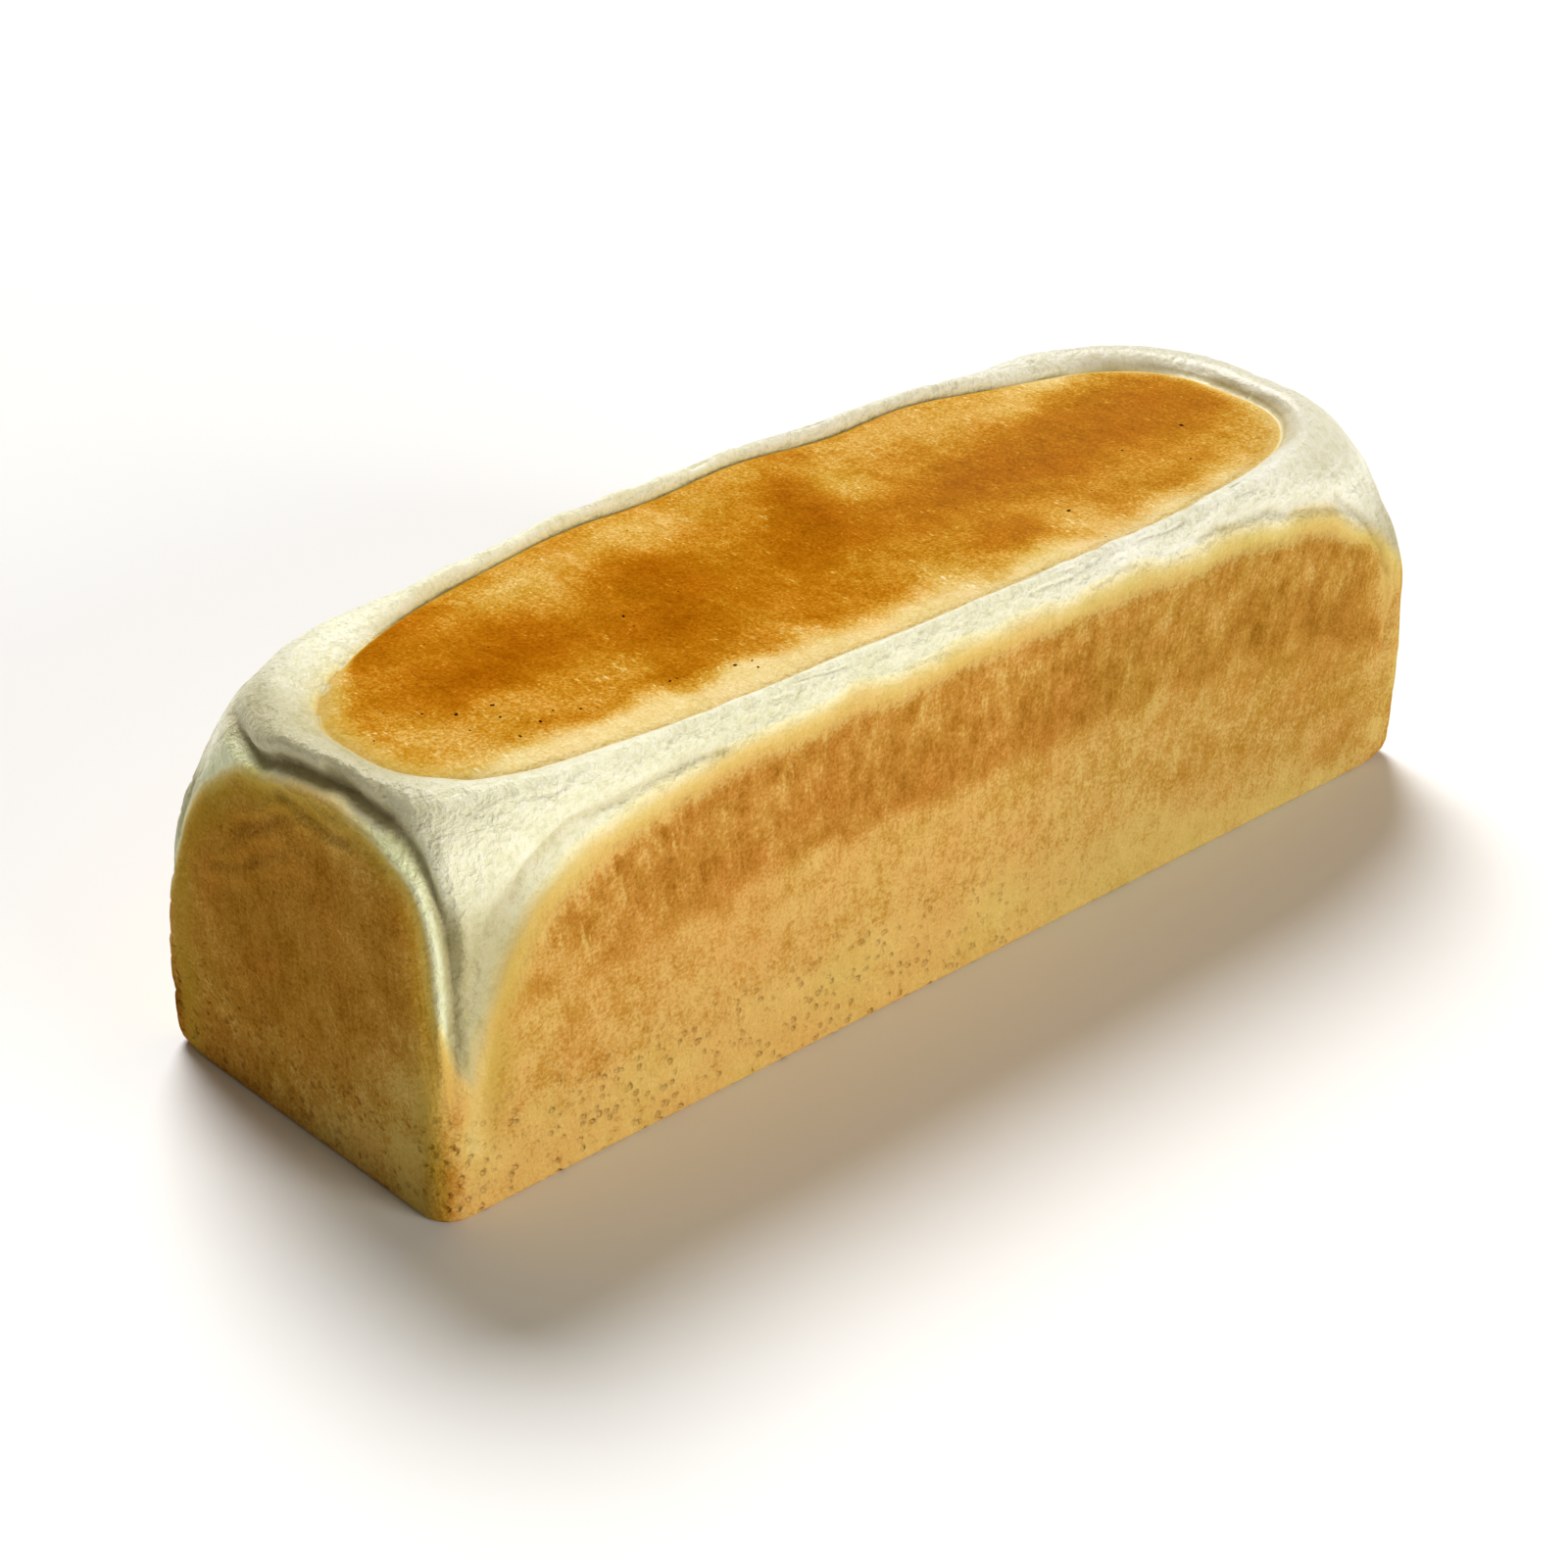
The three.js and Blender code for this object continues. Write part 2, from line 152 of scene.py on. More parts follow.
WRINKLE_BREAK_SOFTNESS = 1 / 3
WRINKLE_LEAN = 0.3
TOASTED_PAST_ARCH = (-2, -8)
TOASTED_HEIGHT = (46, 58)
RELIEF_FADE = 3
OUTSIDE_PANEL = -20

# Paths of wall place and height, and what a crease along them measures.
CREASE_BLOTCHES = (6, 0.8, 30)
SIDE_CREASES = (
    (
        (-136, 73), (-132.3, 79.6), (-128, 83), (-121, 86),
        (-114, 85.4), (-106.6, 86.3), (-93.5, 86), (-78, 87),
    ),
    ((72, 88), (98.5, 86.6), (105, 84), (123.5, 80.4)),
    ((124, 83.8), (133.5, 75.5), (141.6, 63), (144, 57)),
)
SIDE_CREASE = {"at": 0, "width": 0.45, "height": -0.6}
END_WRINKLES = (
    ((24.5, 57), (15, 60.5), (6.6, 69), (-1, 73.5)),
    ((11, 63.5), (-2, 72)),
    ((14, 70), (6, 75), (-6, 82)),
    ((-1, 86.5), (-8, 84.8), (-15.5, 84.2), (-23, 83.5)),
)
END_WRINKLE = {"at": 0, "width": 0.9, "height": -0.3}
END_WRINKLE_BANK = {"at": 2.6, "width": 1.8, "height": 0.5}
PITS = ((20.7, 67.4, 0.8), (7.5, 41.6, 1.3), (-10.5, 47, 0.9), (-16.8, 27.8, 1.2), (-33.3, 40.1, 0.8))
PIT_DEPTH = 0.6
END_WRINKLES_FADE = 2

# ----------
# Browning: 0 is pale skin and 1 is dark brown.
# Patches are (place, other place, reach, other reach, turn in degrees, strength).

PATCH_SPAN = (1.6, 0.3)
LEFT_TIP = (-116, -136)
RIGHT_TIP = (108, 128)
RIGHT_RIM = (95, 125)
BACK_HALF = (0, 20)
FRONT_HALF = (0, -20)

TOP_BLOTCHES = (12, 3, 20)
TOP_BROWNING = 0.66
TOP_PATCHES = (
    (-98, 5, 26, 12, 6, 0.24),
    (-110, 30, 17, 11, 20, 0.18),
    (-48, 12, 14, 16, -8, 0.2),
    (-60, -10, 13, 14, 0, 0.13),
    (-36, -7, 36, 9, 0, 0.09),
    (-70, -29, 11, 7, 0, 0.16),
    (-22, -22, 14, 8, 0, 0.06),
    (8, 20, 9, 17, -25, 0.18),
    (12, 8, 9, 9, 0, 0.12),
    (-8, 5, 13, 10, 0, 0.16),
    (21, 43, 8, 5, 0, 0.1),
    (32, -25, 10, 7, 0, 0.12),
    (40, -4, 50, 8, 0, 0.11),
    (70, 36, 14, 6, 0, 0.08),
    (50, 6, 26, 9, 4, 0.14),
    (102, 6, 34, 12, -4, 0.15),
    (85, -10, 40, 9, 0, 0.04),
    (-128, -17, 12, 15, 0, -0.12),
    (-100, -17, 22, 8, 0, -0.06),
    (-63, 27, 21, 10, 6, -0.2),
    (-28, 33, 16, 9, 0, -0.16),
    (20, 19, 8, 14, -30, -0.09),
    (74, 31, 34, 10, -4, -0.2),
    (20, 42, 130, 8, 0, -0.08),
    (118, 32, 20, 10, -20, -0.12),
    (120, -24, 20, 9, 20, -0.1),
    (90, -20, 26, 7, 8, -0.04),
    (-39, -29, 6, 6, 0, -0.14),
    (5, -30, 9, 7, 0, -0.2),
    (52, -28, 9, 8, 0, -0.2),
    (-120, 35, 16, 7, 0, 0.07),
    (10, 36, 10, 6, 0, -0.06),
    (112, 36, 16, 8, 0, -0.15),
    (26, 26, 14, 12, 0, -0.05),
    (133, 25, 8, 7, 0, -0.2),
    (100, 22, 18, 7, 0, 0.05),
    (-110, -4, 14, 7, 0, 0.06),
    (-30, 9, 10, 8, 0, 0.08),
    (133, -17, 9, 9, 0, -0.14),
    (-130, -30, 9, 7, 0, -0.08),
    (112, -31, 14, 6, 0, -0.08),
)
# A paler band along the top's front, whose edge and fade change towards the left.
TOP_BAND_BROWNING = 0.3
TOP_BAND_EDGE = (-34, -30.5)
TOP_BAND_FADE = (13, 8)
TOP_BAND_CHANGES = (-20, -60)
TOP_BAND_ENDS = (140, 110)
TOP_EDGE_BROWNING = 0.36
TOP_EDGE_FADE = {"front": 3, "left": 8, "right": 4, "back": -2}
TOP_EDGE_SPAN = (-0.5, 0.6)
TOP_EDGE_RAGGED = ((3, 1.6, 16),)
RIM_EDGE_BROWNING = 0.1
RIM_EDGE_SPAN = (0.5, 1)

WALL_BLOTCHES = (10, 5, 24)
SIDE_BROWNING = 0.59
SIDE_FOOT_PALENESS = 0.12
SIDE_FOOT_HEIGHT = 28
SIDE_BAND_BROWNING = 0.145
SIDE_BAND_FOOT = 51
SIDE_BAND_DROPS = ((-75, -125, 6), (112, 154, 22))
SIDE_BAND_FADE = 7
SIDE_BAND_BLOTCHED = 1 / 2
SIDE_PATCHES = (
    (-118, 54, 20, 9, 0, -0.08),
    (-84, 66, 30, 10, 0, 0.03),
    (-30, 60, 30, 10, 0, 0.07),
    (26, 58, 22, 12, 0, 0.08),
    (6, 68, 10, 8, 0, -0.06),
    (96, 52, 26, 12, 0, 0.08),
    (102, 30, 48, 24, 0, 0.09),
    (-120, 27, 9, 10, 0, 0.06),
    (-126, 6, 12, 8, 0, 0.06),
    (-55, 68, 12, 8, 0, -0.04),
    (-40, 9, 70, 11, 0, -0.08),
    (-105, 42, 18, 9, 0, 0.06),
    (25, 43, 30, 7, 0, 0.04),
    (85, 42, 8, 10, 0, -0.07),
    (125, 42, 12, 16, 0, 0.07),
    (138, 12, 14, 11, 0, 0.1),
    (149, 50, 9, 14, 0, -0.2),
)
END_BROWNING = 0.64
END_PATCHES = (
    (-2, 46, 26, 28, 0, 0.16),
    (-12, 72, 24, 10, 0, 0.1),
    (24, 60, 12, 20, 20, 0.1),
    (-42, 60, 12, 22, 0, 0.18),
    (16, 34, 14, 14, 0, 0.06),
    (40, 20, 14, 34, 0, 0.1),
    (-24, 7, 40, 8, 0, -0.06),
    (-42, 14, 10, 16, 0, -0.08),
    (-42, 9, 9, 9, 0, -0.2),
    (16, 8, 16, 8, 0, 0.12),
)
# How far past the arches the crust reaches, and how it gets browner inwards.
SIDE_CRUST = {"reach": 3.2, "blotched": 1 / 5, "power": 0.7}
SIDE_CRUST_FADE = (14, 11)
SIDE_CRUST_CHANGES = (-110, -70)
END_CRUST = {"reach": 1.2, "blotched": 1 / 6, "power": 0.6}
END_CRUST_FADE = 6
BARE_LIP = 2.1
BARE_LIP_PLACE = (-16, -36)
BARE_LIP_HEIGHT = (36, 56)

# The pale strip down a corner, which the crust on both sides of it narrows low down.
STRIP_NARROWS_FROM = {"left": 56, "right": 74}
STRIP_NARROWS_OVER = 28
SIDE_PINCH = {"left": 8, "right": 18}
END_PINCH = {"left": 8, "right": 16}
STRIP_FOOT = (32, 12)
STRIP_FOOT_BROWNING = 0.5
FOOT_CORNER_BROWNING = 0.28
FOOT_CORNER_WIDTH = 4.5
CORNER_PALENESS = 0.12
CORNER_PALE_WIDTH = 10

# Where shade is painted on the skin: steps are (start, end, height).
STRIP_PAINTED_SHADE = 0.9
STRIP_SHADE_DEEPENS = (84, 64)
STRIP_PAST_ARCH = (0, 2)
GROOVE_SIDE_PAINTED_SHADE = {"at": 5.5, "width": 3.2, "height": 1}
GROOVE_SIDE_SHADE_DEEPENS = (82, 70)
RIM_LEFT_PAINTED_SHADES = ((-118, -142, 0.35), (-138, -150, 0.4))
RIM_RIGHT_PAINTED_SHADES = ((100, 126, 0.3),)
RIM_FRONT_CLEAR = (-52, -22)
RIM_SHADE_HEIGHT = (82, 91)

# Where the crust is olive, and where olive stands for painted shade: along the panel's back edge and in the
# right rim's valley.
OLIVE_ON_END = 0.5
OLIVE_END_BAND = (-13, -4, -3, 0)
OLIVE_ON_SIDE = 0.42
OLIVE_SIDE_BAND = (-14, -2, -1, 3)
OLIVE_SIDE_PLACE = (-118, -140)
OLIVE_SIDE_HEIGHT = (12, 28)
OLIVE_AND_PAINTED_SHADE_ON_PANEL = 0.5
OLIVE_PANEL_EDGE = (-0.8, 0)
OLIVE_TIP_PLACE = (-122, -134)
OLIVE_TIP_REACH = (9, 1)
BACK_EDGE_OLIVE_AND_PAINTED_SHADE = {"at": 0, "width": 1.3, "height": 0.6}
RIM_VALLEY_OLIVE_AND_PAINTED_SHADE = 0.16

# Where other things show, among them the painted shade in grooves and creases and the painted sheen on top.
CREASE_SHADE = 1.6
FULL_SHADE_DEPTH = 3
DARKEST_SHADE = 0.36
PANEL_CREASE_SHADE = {"at": -0.7, "width": 0.5, "height": 0.3}
PANEL_STARTS = (1, 3)
WALL_TOP = (90, 87)
END_WALL = (150, 156)
PORES_HEIGHT = (36, 16)
PORES_PLACE = (70, -40)
SHEEN_AND_TINT_PLACE = (-10, 50)
RIGHT_RIM_SMOOTHNESS = 0.75
RIGHT_RIM_STARTS = (0, 1 / 3)

# Dark specks on the panel: x, y and radius.
SPECK_SIDES = 8
SPECK_ROWS = 4
SPECK_UNEVENNESS = 0.25
SPECK_THICKNESS = 0.45
SPECKS = (
    (-63, 2, 0.45), (-124, -5, 0.35), (-111, -12, 0.5), (-115, -26, 0.4), (-103, -22, 0.32),
    (-75, -27, 0.42), (-60, -31, 0.45), (-57, -35, 0.38), (52, -24, 0.5), (95, -24, 0.36),
    (-119, -10, 0.55), (-138, -7, 0.35), (-108, -24, 0.4), (-98, -25, 0.3), (-73, -27, 0.34),
    (-56, -32, 0.3), (-113, -17, 0.36), (-121, -17, 0.28), (110, -8, 0.45), (86, -10, 0.3),
)


# ----------
# Small helpers

def smooth_step(value):
    t = np.clip(value, 0, 1)
    return t * t * (3 - 2 * t)


def span(value, start, end):
    """0 at the start, 1 at the end and smooth between."""
    return smooth_step((value - start) / (end - start))


def in_band(value, band):
    """1 in the middle of a band and smooth towards both its ends."""
    start, full_from, full_to, end = band
    return span(value, start, full_from) * span(value, end, full_to)


def steps(value, table):
    return sum(height * span(value, start, end) for start, end, height in table)


def mix(first, second, share):
    return first + (second - first) * share


def bump(distance, width):
    return np.exp(-((distance / width) ** 2))


def ridge(distance, shape):
    """A soft bulge along a curve, or a hollow where its height is negative."""
    return shape["height"] * bump(distance - shape["at"], shape["width"])


def fold(distance, shape):
    """A sharper fold along a curve."""
    fall = np.exp(-np.abs(distance - shape["at"]) / shape["width"])
    return shape["height"] * 2 * fall / (1 + fall ** 2)


def quarter_of(table, is_left, is_front):
    front = np.where(is_left, table["front_left"], table["front_right"])
    back = np.where(is_left, table["back_left"], table["back_right"])
    return np.where(is_front, front, back)


def lattice_value(cell, seed):
    """A fixed random number from -1 to 1 for each whole-numbered cell."""
    x, y, z = cell[..., 0], cell[..., 1], cell[..., 2]
    n = (x * 73856093) ^ (y * 19349663) ^ (z * 83492791) ^ (seed * 50331653)
    n = ((n ^ (n >> 13)) * 1274126177) & 0x7FFFFFFF
    return ((n ^ (n >> 16)) & 0xFFFF) / 32767.5 - 1


def noise(points, seed):
    """Smooth noise from -1 to 1 that changes over a distance of 1."""
    cell = np.floor(points).astype(np.int64)
    share = points - cell
    share = share ** 3 * (share * (share * 6 - 15) + 10)
    total = 0
    for corner in itertools.product((0, 1), repeat=3):
        offset = np.array(corner)
        weight = np.where(offset == 1, share, 1 - share).prod(-1)
        total = total + weight * lattice_value(cell + offset, seed)
    return total


def dimples(points, layers):
    return sum(height * noise(points / size, seed) for size, height, seed in layers)


def wrinkles(points, lines):
    """Lines where the noise is near zero, broken up by slower noise."""
    places = points / np.array(lines["size"])
    line = bump(noise(places, lines["seed"]), lines["width"])
    breaks = noise(places / WRINKLE_BREAK_SIZE, lines["seed"] + 1)
    return lines["height"] * line * span(breaks, -WRINKLE_BREAK_SOFTNESS, WRINKLE_BREAK_SOFTNESS)


def distance_to_path(u, v, path):
    """The distance from a path of straight pieces."""
    nearest = np.full(np.shape(u), np.inf)
    for (u0, v0), (u1, v1) in zip(path, path[1:]):
        along_u, along_v = u1 - u0, v1 - v0
        share = ((u - u0) * along_u + (v - v0) * along_v) / (along_u ** 2 + along_v ** 2)
        share = np.clip(share, 0, 1)
        nearest = np.minimum(nearest, np.hypot(u - u0 - share * along_u, v - v0 - share * along_v))
    return nearest


def patches(u, v, table):
    """The sum of soft oval patches."""
    total = 0
    for middle_u, middle_v, reach_u, reach_v, turn, strength in table:
        c, s = math.cos(math.radians(turn)), math.sin(math.radians(turn))
        du, dv = u - middle_u, v - middle_v
        radius = np.hypot((c * du + s * dv) / reach_u, (c * dv - s * du) / reach_v)
        total = total + strength * span(radius, *PATCH_SPAN)
    return total


# ----------
# Outlines: each is negative inside and zero on the outline

def wall_outline(x, y, z):
    half_length = HALF_LENGTH + np.where(x < 0, LEFT_LEAN, RIGHT_LEAN) * z
    half_width = HALF_WIDTH + SIDE_LEAN * z
    base_radius = quarter_of(CORNER_RADIUS_BASE, x < 0, y < 0)
    top_radius = quarter_of(CORNER_RADIUS_TOP, x < 0, y < 0)
    radius = mix(base_radius, top_radius, span(z, CORNER_WIDENS_FROM, RIM_TOP))
    over_x = np.abs(x) - half_length + radius
    over_y = np.abs(y) - half_width + radius
    outside = np.hypot(np.maximum(over_x, 0), np.maximum(over_y, 0))
    return outside + np.minimum(np.maximum(over_x, over_y), 0) - radius


def panel_outline(x, y):
    wave = PANEL_EDGE_WAVE * np.sin(2 * np.pi * x / PANEL_EDGE_WAVELENGTH)
    along_x = x - PANEL_CENTRE[0]
    along_y = y - PANEL_CENTRE[1]
    reach_x = np.where(along_x < 0, PANEL_REACH["left"], PANEL_REACH["right"])
    reach_y = np.where(along_y < 0, PANEL_REACH["front"], PANEL_REACH["back"] + wave)
    power_x = quarter_of(PANEL_POWER_X, along_x < 0, along_y < 0)
    power_y = quarter_of(PANEL_POWER_Y, along_x < 0, along_y < 0)
    return np.abs(along_x / reach_x) ** power_x + np.abs(along_y / reach_y) ** power_y - 1


class Rays:
    """Rays from the loaf's centre line to points round its square base outline."""

    def __init__(self, target_x, target_y):
        centre_end = HALF_LENGTH - HALF_WIDTH
        self.x = np.clip(target_x, -centre_end, centre_end)
        length = np.hypot(target_x - self.x, target_y)
        past_side = HALF_WIDTH - np.abs(target_y)
        past_end = HALF_LENGTH - np.abs(target_x)
        self.dx = (target_x - self.x) / length
        self.dy = target_y / length
        self.is_left = target_x < 0
        self.is_front = target_y < 0
        self.side_place = np.sign(target_x) * (np.abs(target_x) + past_side)
        self.end_place = np.sign(target_y) * (np.abs(target_y) + past_end)
        self.past_corner = past_end + past_side
        step = np.hypot(np.roll(target_x, -1) - target_x, np.roll(target_y, -1) - target_y)
        self.around = np.cumsum(step) - step
        self.length_round = step.sum()

    def reach(self, outline):
        """The distance along each ray at which it leaves an outline, by halving the interval."""
        near = np.zeros(np.shape(outline(self.x, self.dy)))
        far = near + SEARCH_REACH
        for _ in range(SEARCH_STEPS):
            middle = (near + far) / 2
            inside = outline(self.x + self.dx * middle, self.dy * middle) < 0
            near = np.where(inside, middle, near)
            far = np.where(inside, far, middle)
        return (near + far) / 2

    def points(self, distance, z):
        return np.stack([self.x + self.dx * distance, self.dy * distance, z + 0 * distance], -1)

    def loop(self, wavelength, height, pushed=0):
        """Noise places that close on themselves round the loaf."""
        angle = 2 * np.pi * (self.around + pushed) / self.length_round
        radius = self.length_round / (2 * np.pi * wavelength)
        flat = 0 * height
        return np.stack([radius * np.cos(angle) + flat, radius * np.sin(angle) + flat, height], -1)

    def wander(self, z, layers):
        return sum(height * noise(self.loop(along, z / up), seed) for along, up, height, seed in layers)

    def of_end(self, table):
        return np.where(self.is_left, table["left"], table["right"])


def wall_stations(length, count, crowding):
    share = np.arange(count) / count
    return length * (share - crowding * np.sin(2 * np.pi * share) / (2 * np.pi))


def rays_round():
    """Counter-clockwise seen from above, from the front left corner."""
    along = wall_stations(2 * HALF_LENGTH, SIDE_STEPS, SIDE_CROWDING)
    across = wall_stations(2 * HALF_WIDTH, END_STEPS, END_CROWDING)
    x = [along - HALF_LENGTH, across * 0 + HALF_LENGTH, HALF_LENGTH - along, across * 0 - HALF_LENGTH]
    y = [along * 0 - HALF_WIDTH, across - HALF_WIDTH, along * 0 + HALF_WIDTH, HALF_WIDTH - across]
    return Rays(np.concatenate(x), np.concatenate(y))


# ----------
# The plain surface, ring by ring

def rim_shape(rays, crease):
    """Height and width of the rim: side values that change to end values near the ends."""
    x = rays.x + rays.dx * crease
    y = rays.dy * crease
    end_reach = np.abs(x - PANEL_CENTRE[0]) / PANEL_REACH["left"]
    end_share = span(end_reach, RIM_END_STARTS, 1)
    back_share = smooth_step(y / RIM_SIDE_BLEND + 1 / 2)

    def mixed(table):
        side = mix(table["front"], table["back"], back_share)
        return mix(side, rays.of_end(table), end_share)

    corner_share = 4 * end_share * (1 - end_share)
    extra = corner_share * quarter_of(RIM_CORNER_WIDTH, rays.is_left, rays.is_front)
    return mixed(RIM_HEIGHT), mixed(RIM_WIDTH) + extra


def base_edge_radius(rays):
    corner_radius = quarter_of(BASE_CORNER_EDGE_RADIUS, rays.is_left, rays.is_front)
    return mix(BASE_EDGE_RADIUS, corner_radius, bump(rays.past_corner, BASE_CORNER_REACH))


def panel_height(x, y):
    swell = np.sin(2 * np.pi * x / PANEL_SWELL_LENGTH + y / PANEL_SWELL_WIDTH)
    return PANEL_HEIGHT + PANEL_SWELL * swell


def panel_points(rays, distance):
    points = rays.points(distance, 0)
    points[..., 2] = panel_height(points[..., 0], points[..., 1])
    return points


def shares(count):
    """Even steps from 0 up to but without 1, as a column."""
    return (np.arange(count) / count)[:, None]


def plain_rings(rays):
    """All rings from the base edge to the panel's middle, and where the crease lies."""
    top = rays.reach(lambda x, y: wall_outline(x, y, RIM_TOP))
    panel_edge = rays.reach(panel_outline)
    rim_height, rim_width = rim_shape(rays, panel_edge)
    crest = np.minimum(panel_edge + rim_width, top - SMALLEST_SHOULDER)
    crease = np.minimum(panel_edge, crest - SMALLEST_RIM)
    drop = SHOULDER_DROP + SHOULDER_DROP_PER_INSET * (top - crest)
    foot = rim_height - drop

    def wall(z):
        return rays.reach(lambda x, y: wall_outline(x, y, z))

    edge_radius = base_edge_radius(rays)
    angle = shares(EDGE_RINGS) * np.pi / 2
    edge_z = edge_radius * (1 - np.cos(angle))
    edge = rays.points(wall(edge_z) - edge_radius * (1 - np.sin(angle)), edge_z)

    wall_z = edge_radius + (foot - edge_radius) * shares(WALL_RINGS)
    walls = rays.points(wall(wall_z), wall_z)

    angle = shares(SHOULDER_RINGS) * np.pi / 2
    shoulder_z = foot + drop * np.sin(angle) ** (2 / SHOULDER_POWER)
    outwards = np.cos(angle) ** (2 / SHOULDER_POWER)
    shoulder = rays.points(crest + (wall(shoulder_z) - crest) * outwards, shoulder_z)

    fall = rim_height - panel_points(rays, crease)[..., 2]
    share = shares(RIM_RINGS)
    rim = rays.points(crest + (crease - crest) * share, rim_height - fall * share ** 2)

    share = shares(CREASE_RINGS)
    crease_rings = panel_points(rays, crease - CREASE_WIDTH * share)
    crease_rings[..., 2] -= CREASE_DEPTH * (1 - share)

    panel = panel_points(rays, (crease - CREASE_WIDTH) * (1 - shares(PANEL_RINGS) ** 1.3))
    return np.concatenate([edge, walls, shoulder, rim, crease_rings, panel]), crease


# ----------
# The surface as the relief and the browning see it

def distance_from_arch(place, z, arch):
    """The distance from a wall's arch, positive above and outside it."""
    is_low = place < arch["middle"]
    reach, flank, rise = (np.where(is_low, *arch[name]) for name in ("spans", "flanks", "rises"))
    across = np.abs(place - arch["middle"]) / reach
    up = np.maximum(z, 0) / arch["top"]
    value = across ** flank + up ** rise - 1
    slope_across = flank * across ** (flank - 1) / reach
    slope_up = rise * up ** (rise - 1) / arch["top"]
    return value / np.maximum(np.hypot(slope_across, slope_up), 1e-6)


class Surface:
    """The rings with the measures that relief and browning depend on."""

    def __init__(self, rays):
        self.rays = rays
        self.points, crease = plain_rings(rays)
        self.x, self.y, self.z = np.moveaxis(self.points, -1, 0)
        self.level = np.arange(len(self.points))[:, None] + 0 * self.z
        self.crest_ring = EDGE_RINGS + WALL_RINGS + SHOULDER_RINGS
        self.below_crest = smooth_step((self.crest_ring - self.level) / RELIEF_FADE_RINGS)
        front, back = (distance_from_arch(rays.side_place, self.z, arch) for arch in (FRONT_ARCH, BACK_ARCH))
        left, right = (distance_from_arch(rays.end_place, self.z, arch) for arch in (LEFT_ARCH, RIGHT_ARCH))
        wander = rays.wander(self.z, GROOVE_WANDER)
        self.past_side = np.where(rays.is_front, front, back) + wander
        self.past_end = np.where(rays.is_left, left, right) + wander
        step = np.linalg.norm(np.diff(self.points, axis=0), axis=-1)
        self.run = np.concatenate([0 * step[:1], np.cumsum(step, axis=0)])
        from_centre = np.hypot(self.x - rays.x, self.y)
        self.in_panel = np.where(self.level >= self.crest_ring, crease - from_centre, OUTSIDE_PANEL)
        is_outside = span(np.minimum(self.past_side, self.past_end), *SKIN_PAST_ARCH)
        self.skin = is_outside * smooth_step(-self.in_panel / SKIN_FADE)

    def normals(self):
        """Outward unit normals, from each point's neighbours."""
        below = np.concatenate([self.points[:1], self.points[:-1]])
        above = np.concatenate([self.points[1:], self.points[-1:]])
        along = np.roll(self.points, -1, axis=1) - np.roll(self.points, 1, axis=1)
        normals = np.cross(along, above - below)
        return normals / np.maximum(np.linalg.norm(normals, axis=-1, keepdims=True), 1e-9)


# ----------
# Relief of the crust

def past_left_guide(surface):
    """The left end's bands follow its arch, and a level line towards the back."""
    past_level = surface.z - LEVEL_GROOVE_Z + END_GROOVE["at"]
    return mix(surface.past_end, past_level, span(surface.rays.end_place, *LEVEL_GROOVE_STARTS))


def groove_relief(surface):
    rays = surface.rays
    side_strength = mix(SIDE_GROOVE_MIDDLE, 1, span(np.abs(rays.side_place), *SIDE_GROOVE_DEEPENS))
    past_side = surface.past_side - SIDE_GROOVE_RISE * span(rays.side_place, *SIDE_GROOVE_RISES)
    side = ridge(surface.past_side, SIDE_LIP) + ridge(past_side, SIDE_ROLL) + fold(past_side, SIDE_GROOVE)
    left_strength = span(rays.end_place, *LEVEL_GROOVE_STAYS)
    end_strength = np.where(rays.is_left, left_strength, RIGHT_GROOVE_STRENGTH)
    past_end = np.where(rays.is_left, past_left_guide(surface), surface.past_end)
    depth_share = mix(GROOVE_LOW_SHARE, 1, span(surface.z, *GROOVE_DEEPENS))
    end = ridge(past_end, END_LIP) + ridge(past_end, END_ROLL) + depth_share * fold(past_end, END_GROOVE)
    return span(surface.z, *GROOVE_HEIGHT) * (side_strength * side + end_strength * end)


def fold_relief(surface):
    place = surface.rays.past_corner + surface.rays.wander(surface.z, FOLD_WANDER)
    folds = sum(bump(place - fold_place, FOLD_WIDTH) for fold_place in FOLD_PLACES)
    return -FOLD_DEPTH * in_band(surface.z, FOLD_BAND) * folds * surface.skin


def skin_relief(surface):
    """Soft dimples and short wrinkles."""
    return surface.skin * (dimples(surface.points, SKIN_DIMPLES) - wrinkles(surface.points, SKIN_WRINKLES))


def crust_relief(surface):
    """The flat browned walls: shallow dimples, and upright wrinkles below the side's arch."""
    upright = wrinkles(surface.points, WALL_WRINKLES) * toasted(surface)
    return (1 - surface.skin) * (dimples(surface.points, CRUST_DIMPLES) - upright)


def toasted(surface):
    """The upper part of a side's browned field, where it is wrinkled."""
    return span(surface.past_side, *TOASTED_PAST_ARCH) * span(surface.z, *TOASTED_HEIGHT)


def crease_relief(surface):
    """Thin creases under the front side's rim, and wrinkles and pits on the left end."""
    rays = surface.rays
    du, dv = blotchy(surface, *CREASE_BLOTCHES)
    side = 0
    for path in SIDE_CREASES:
        side = side + fold(distance_to_path(rays.side_place + du, surface.z + dv, path), SIDE_CREASE)
    end = 0
    for path in END_WRINKLES:
        away = distance_to_path(rays.end_place + du, surface.z + dv, path)
        end = end + fold(away, END_WRINKLE) + ridge(away, END_WRINKLE_BANK)
    for place, height, radius in PITS:
        end = end - PIT_DEPTH * bump(np.hypot(rays.end_place - place, surface.z - height), radius)
    on_left_end = rays.is_left * smooth_step(-surface.past_end / END_WRINKLES_FADE)
    return rays.is_front * side + on_left_end * end


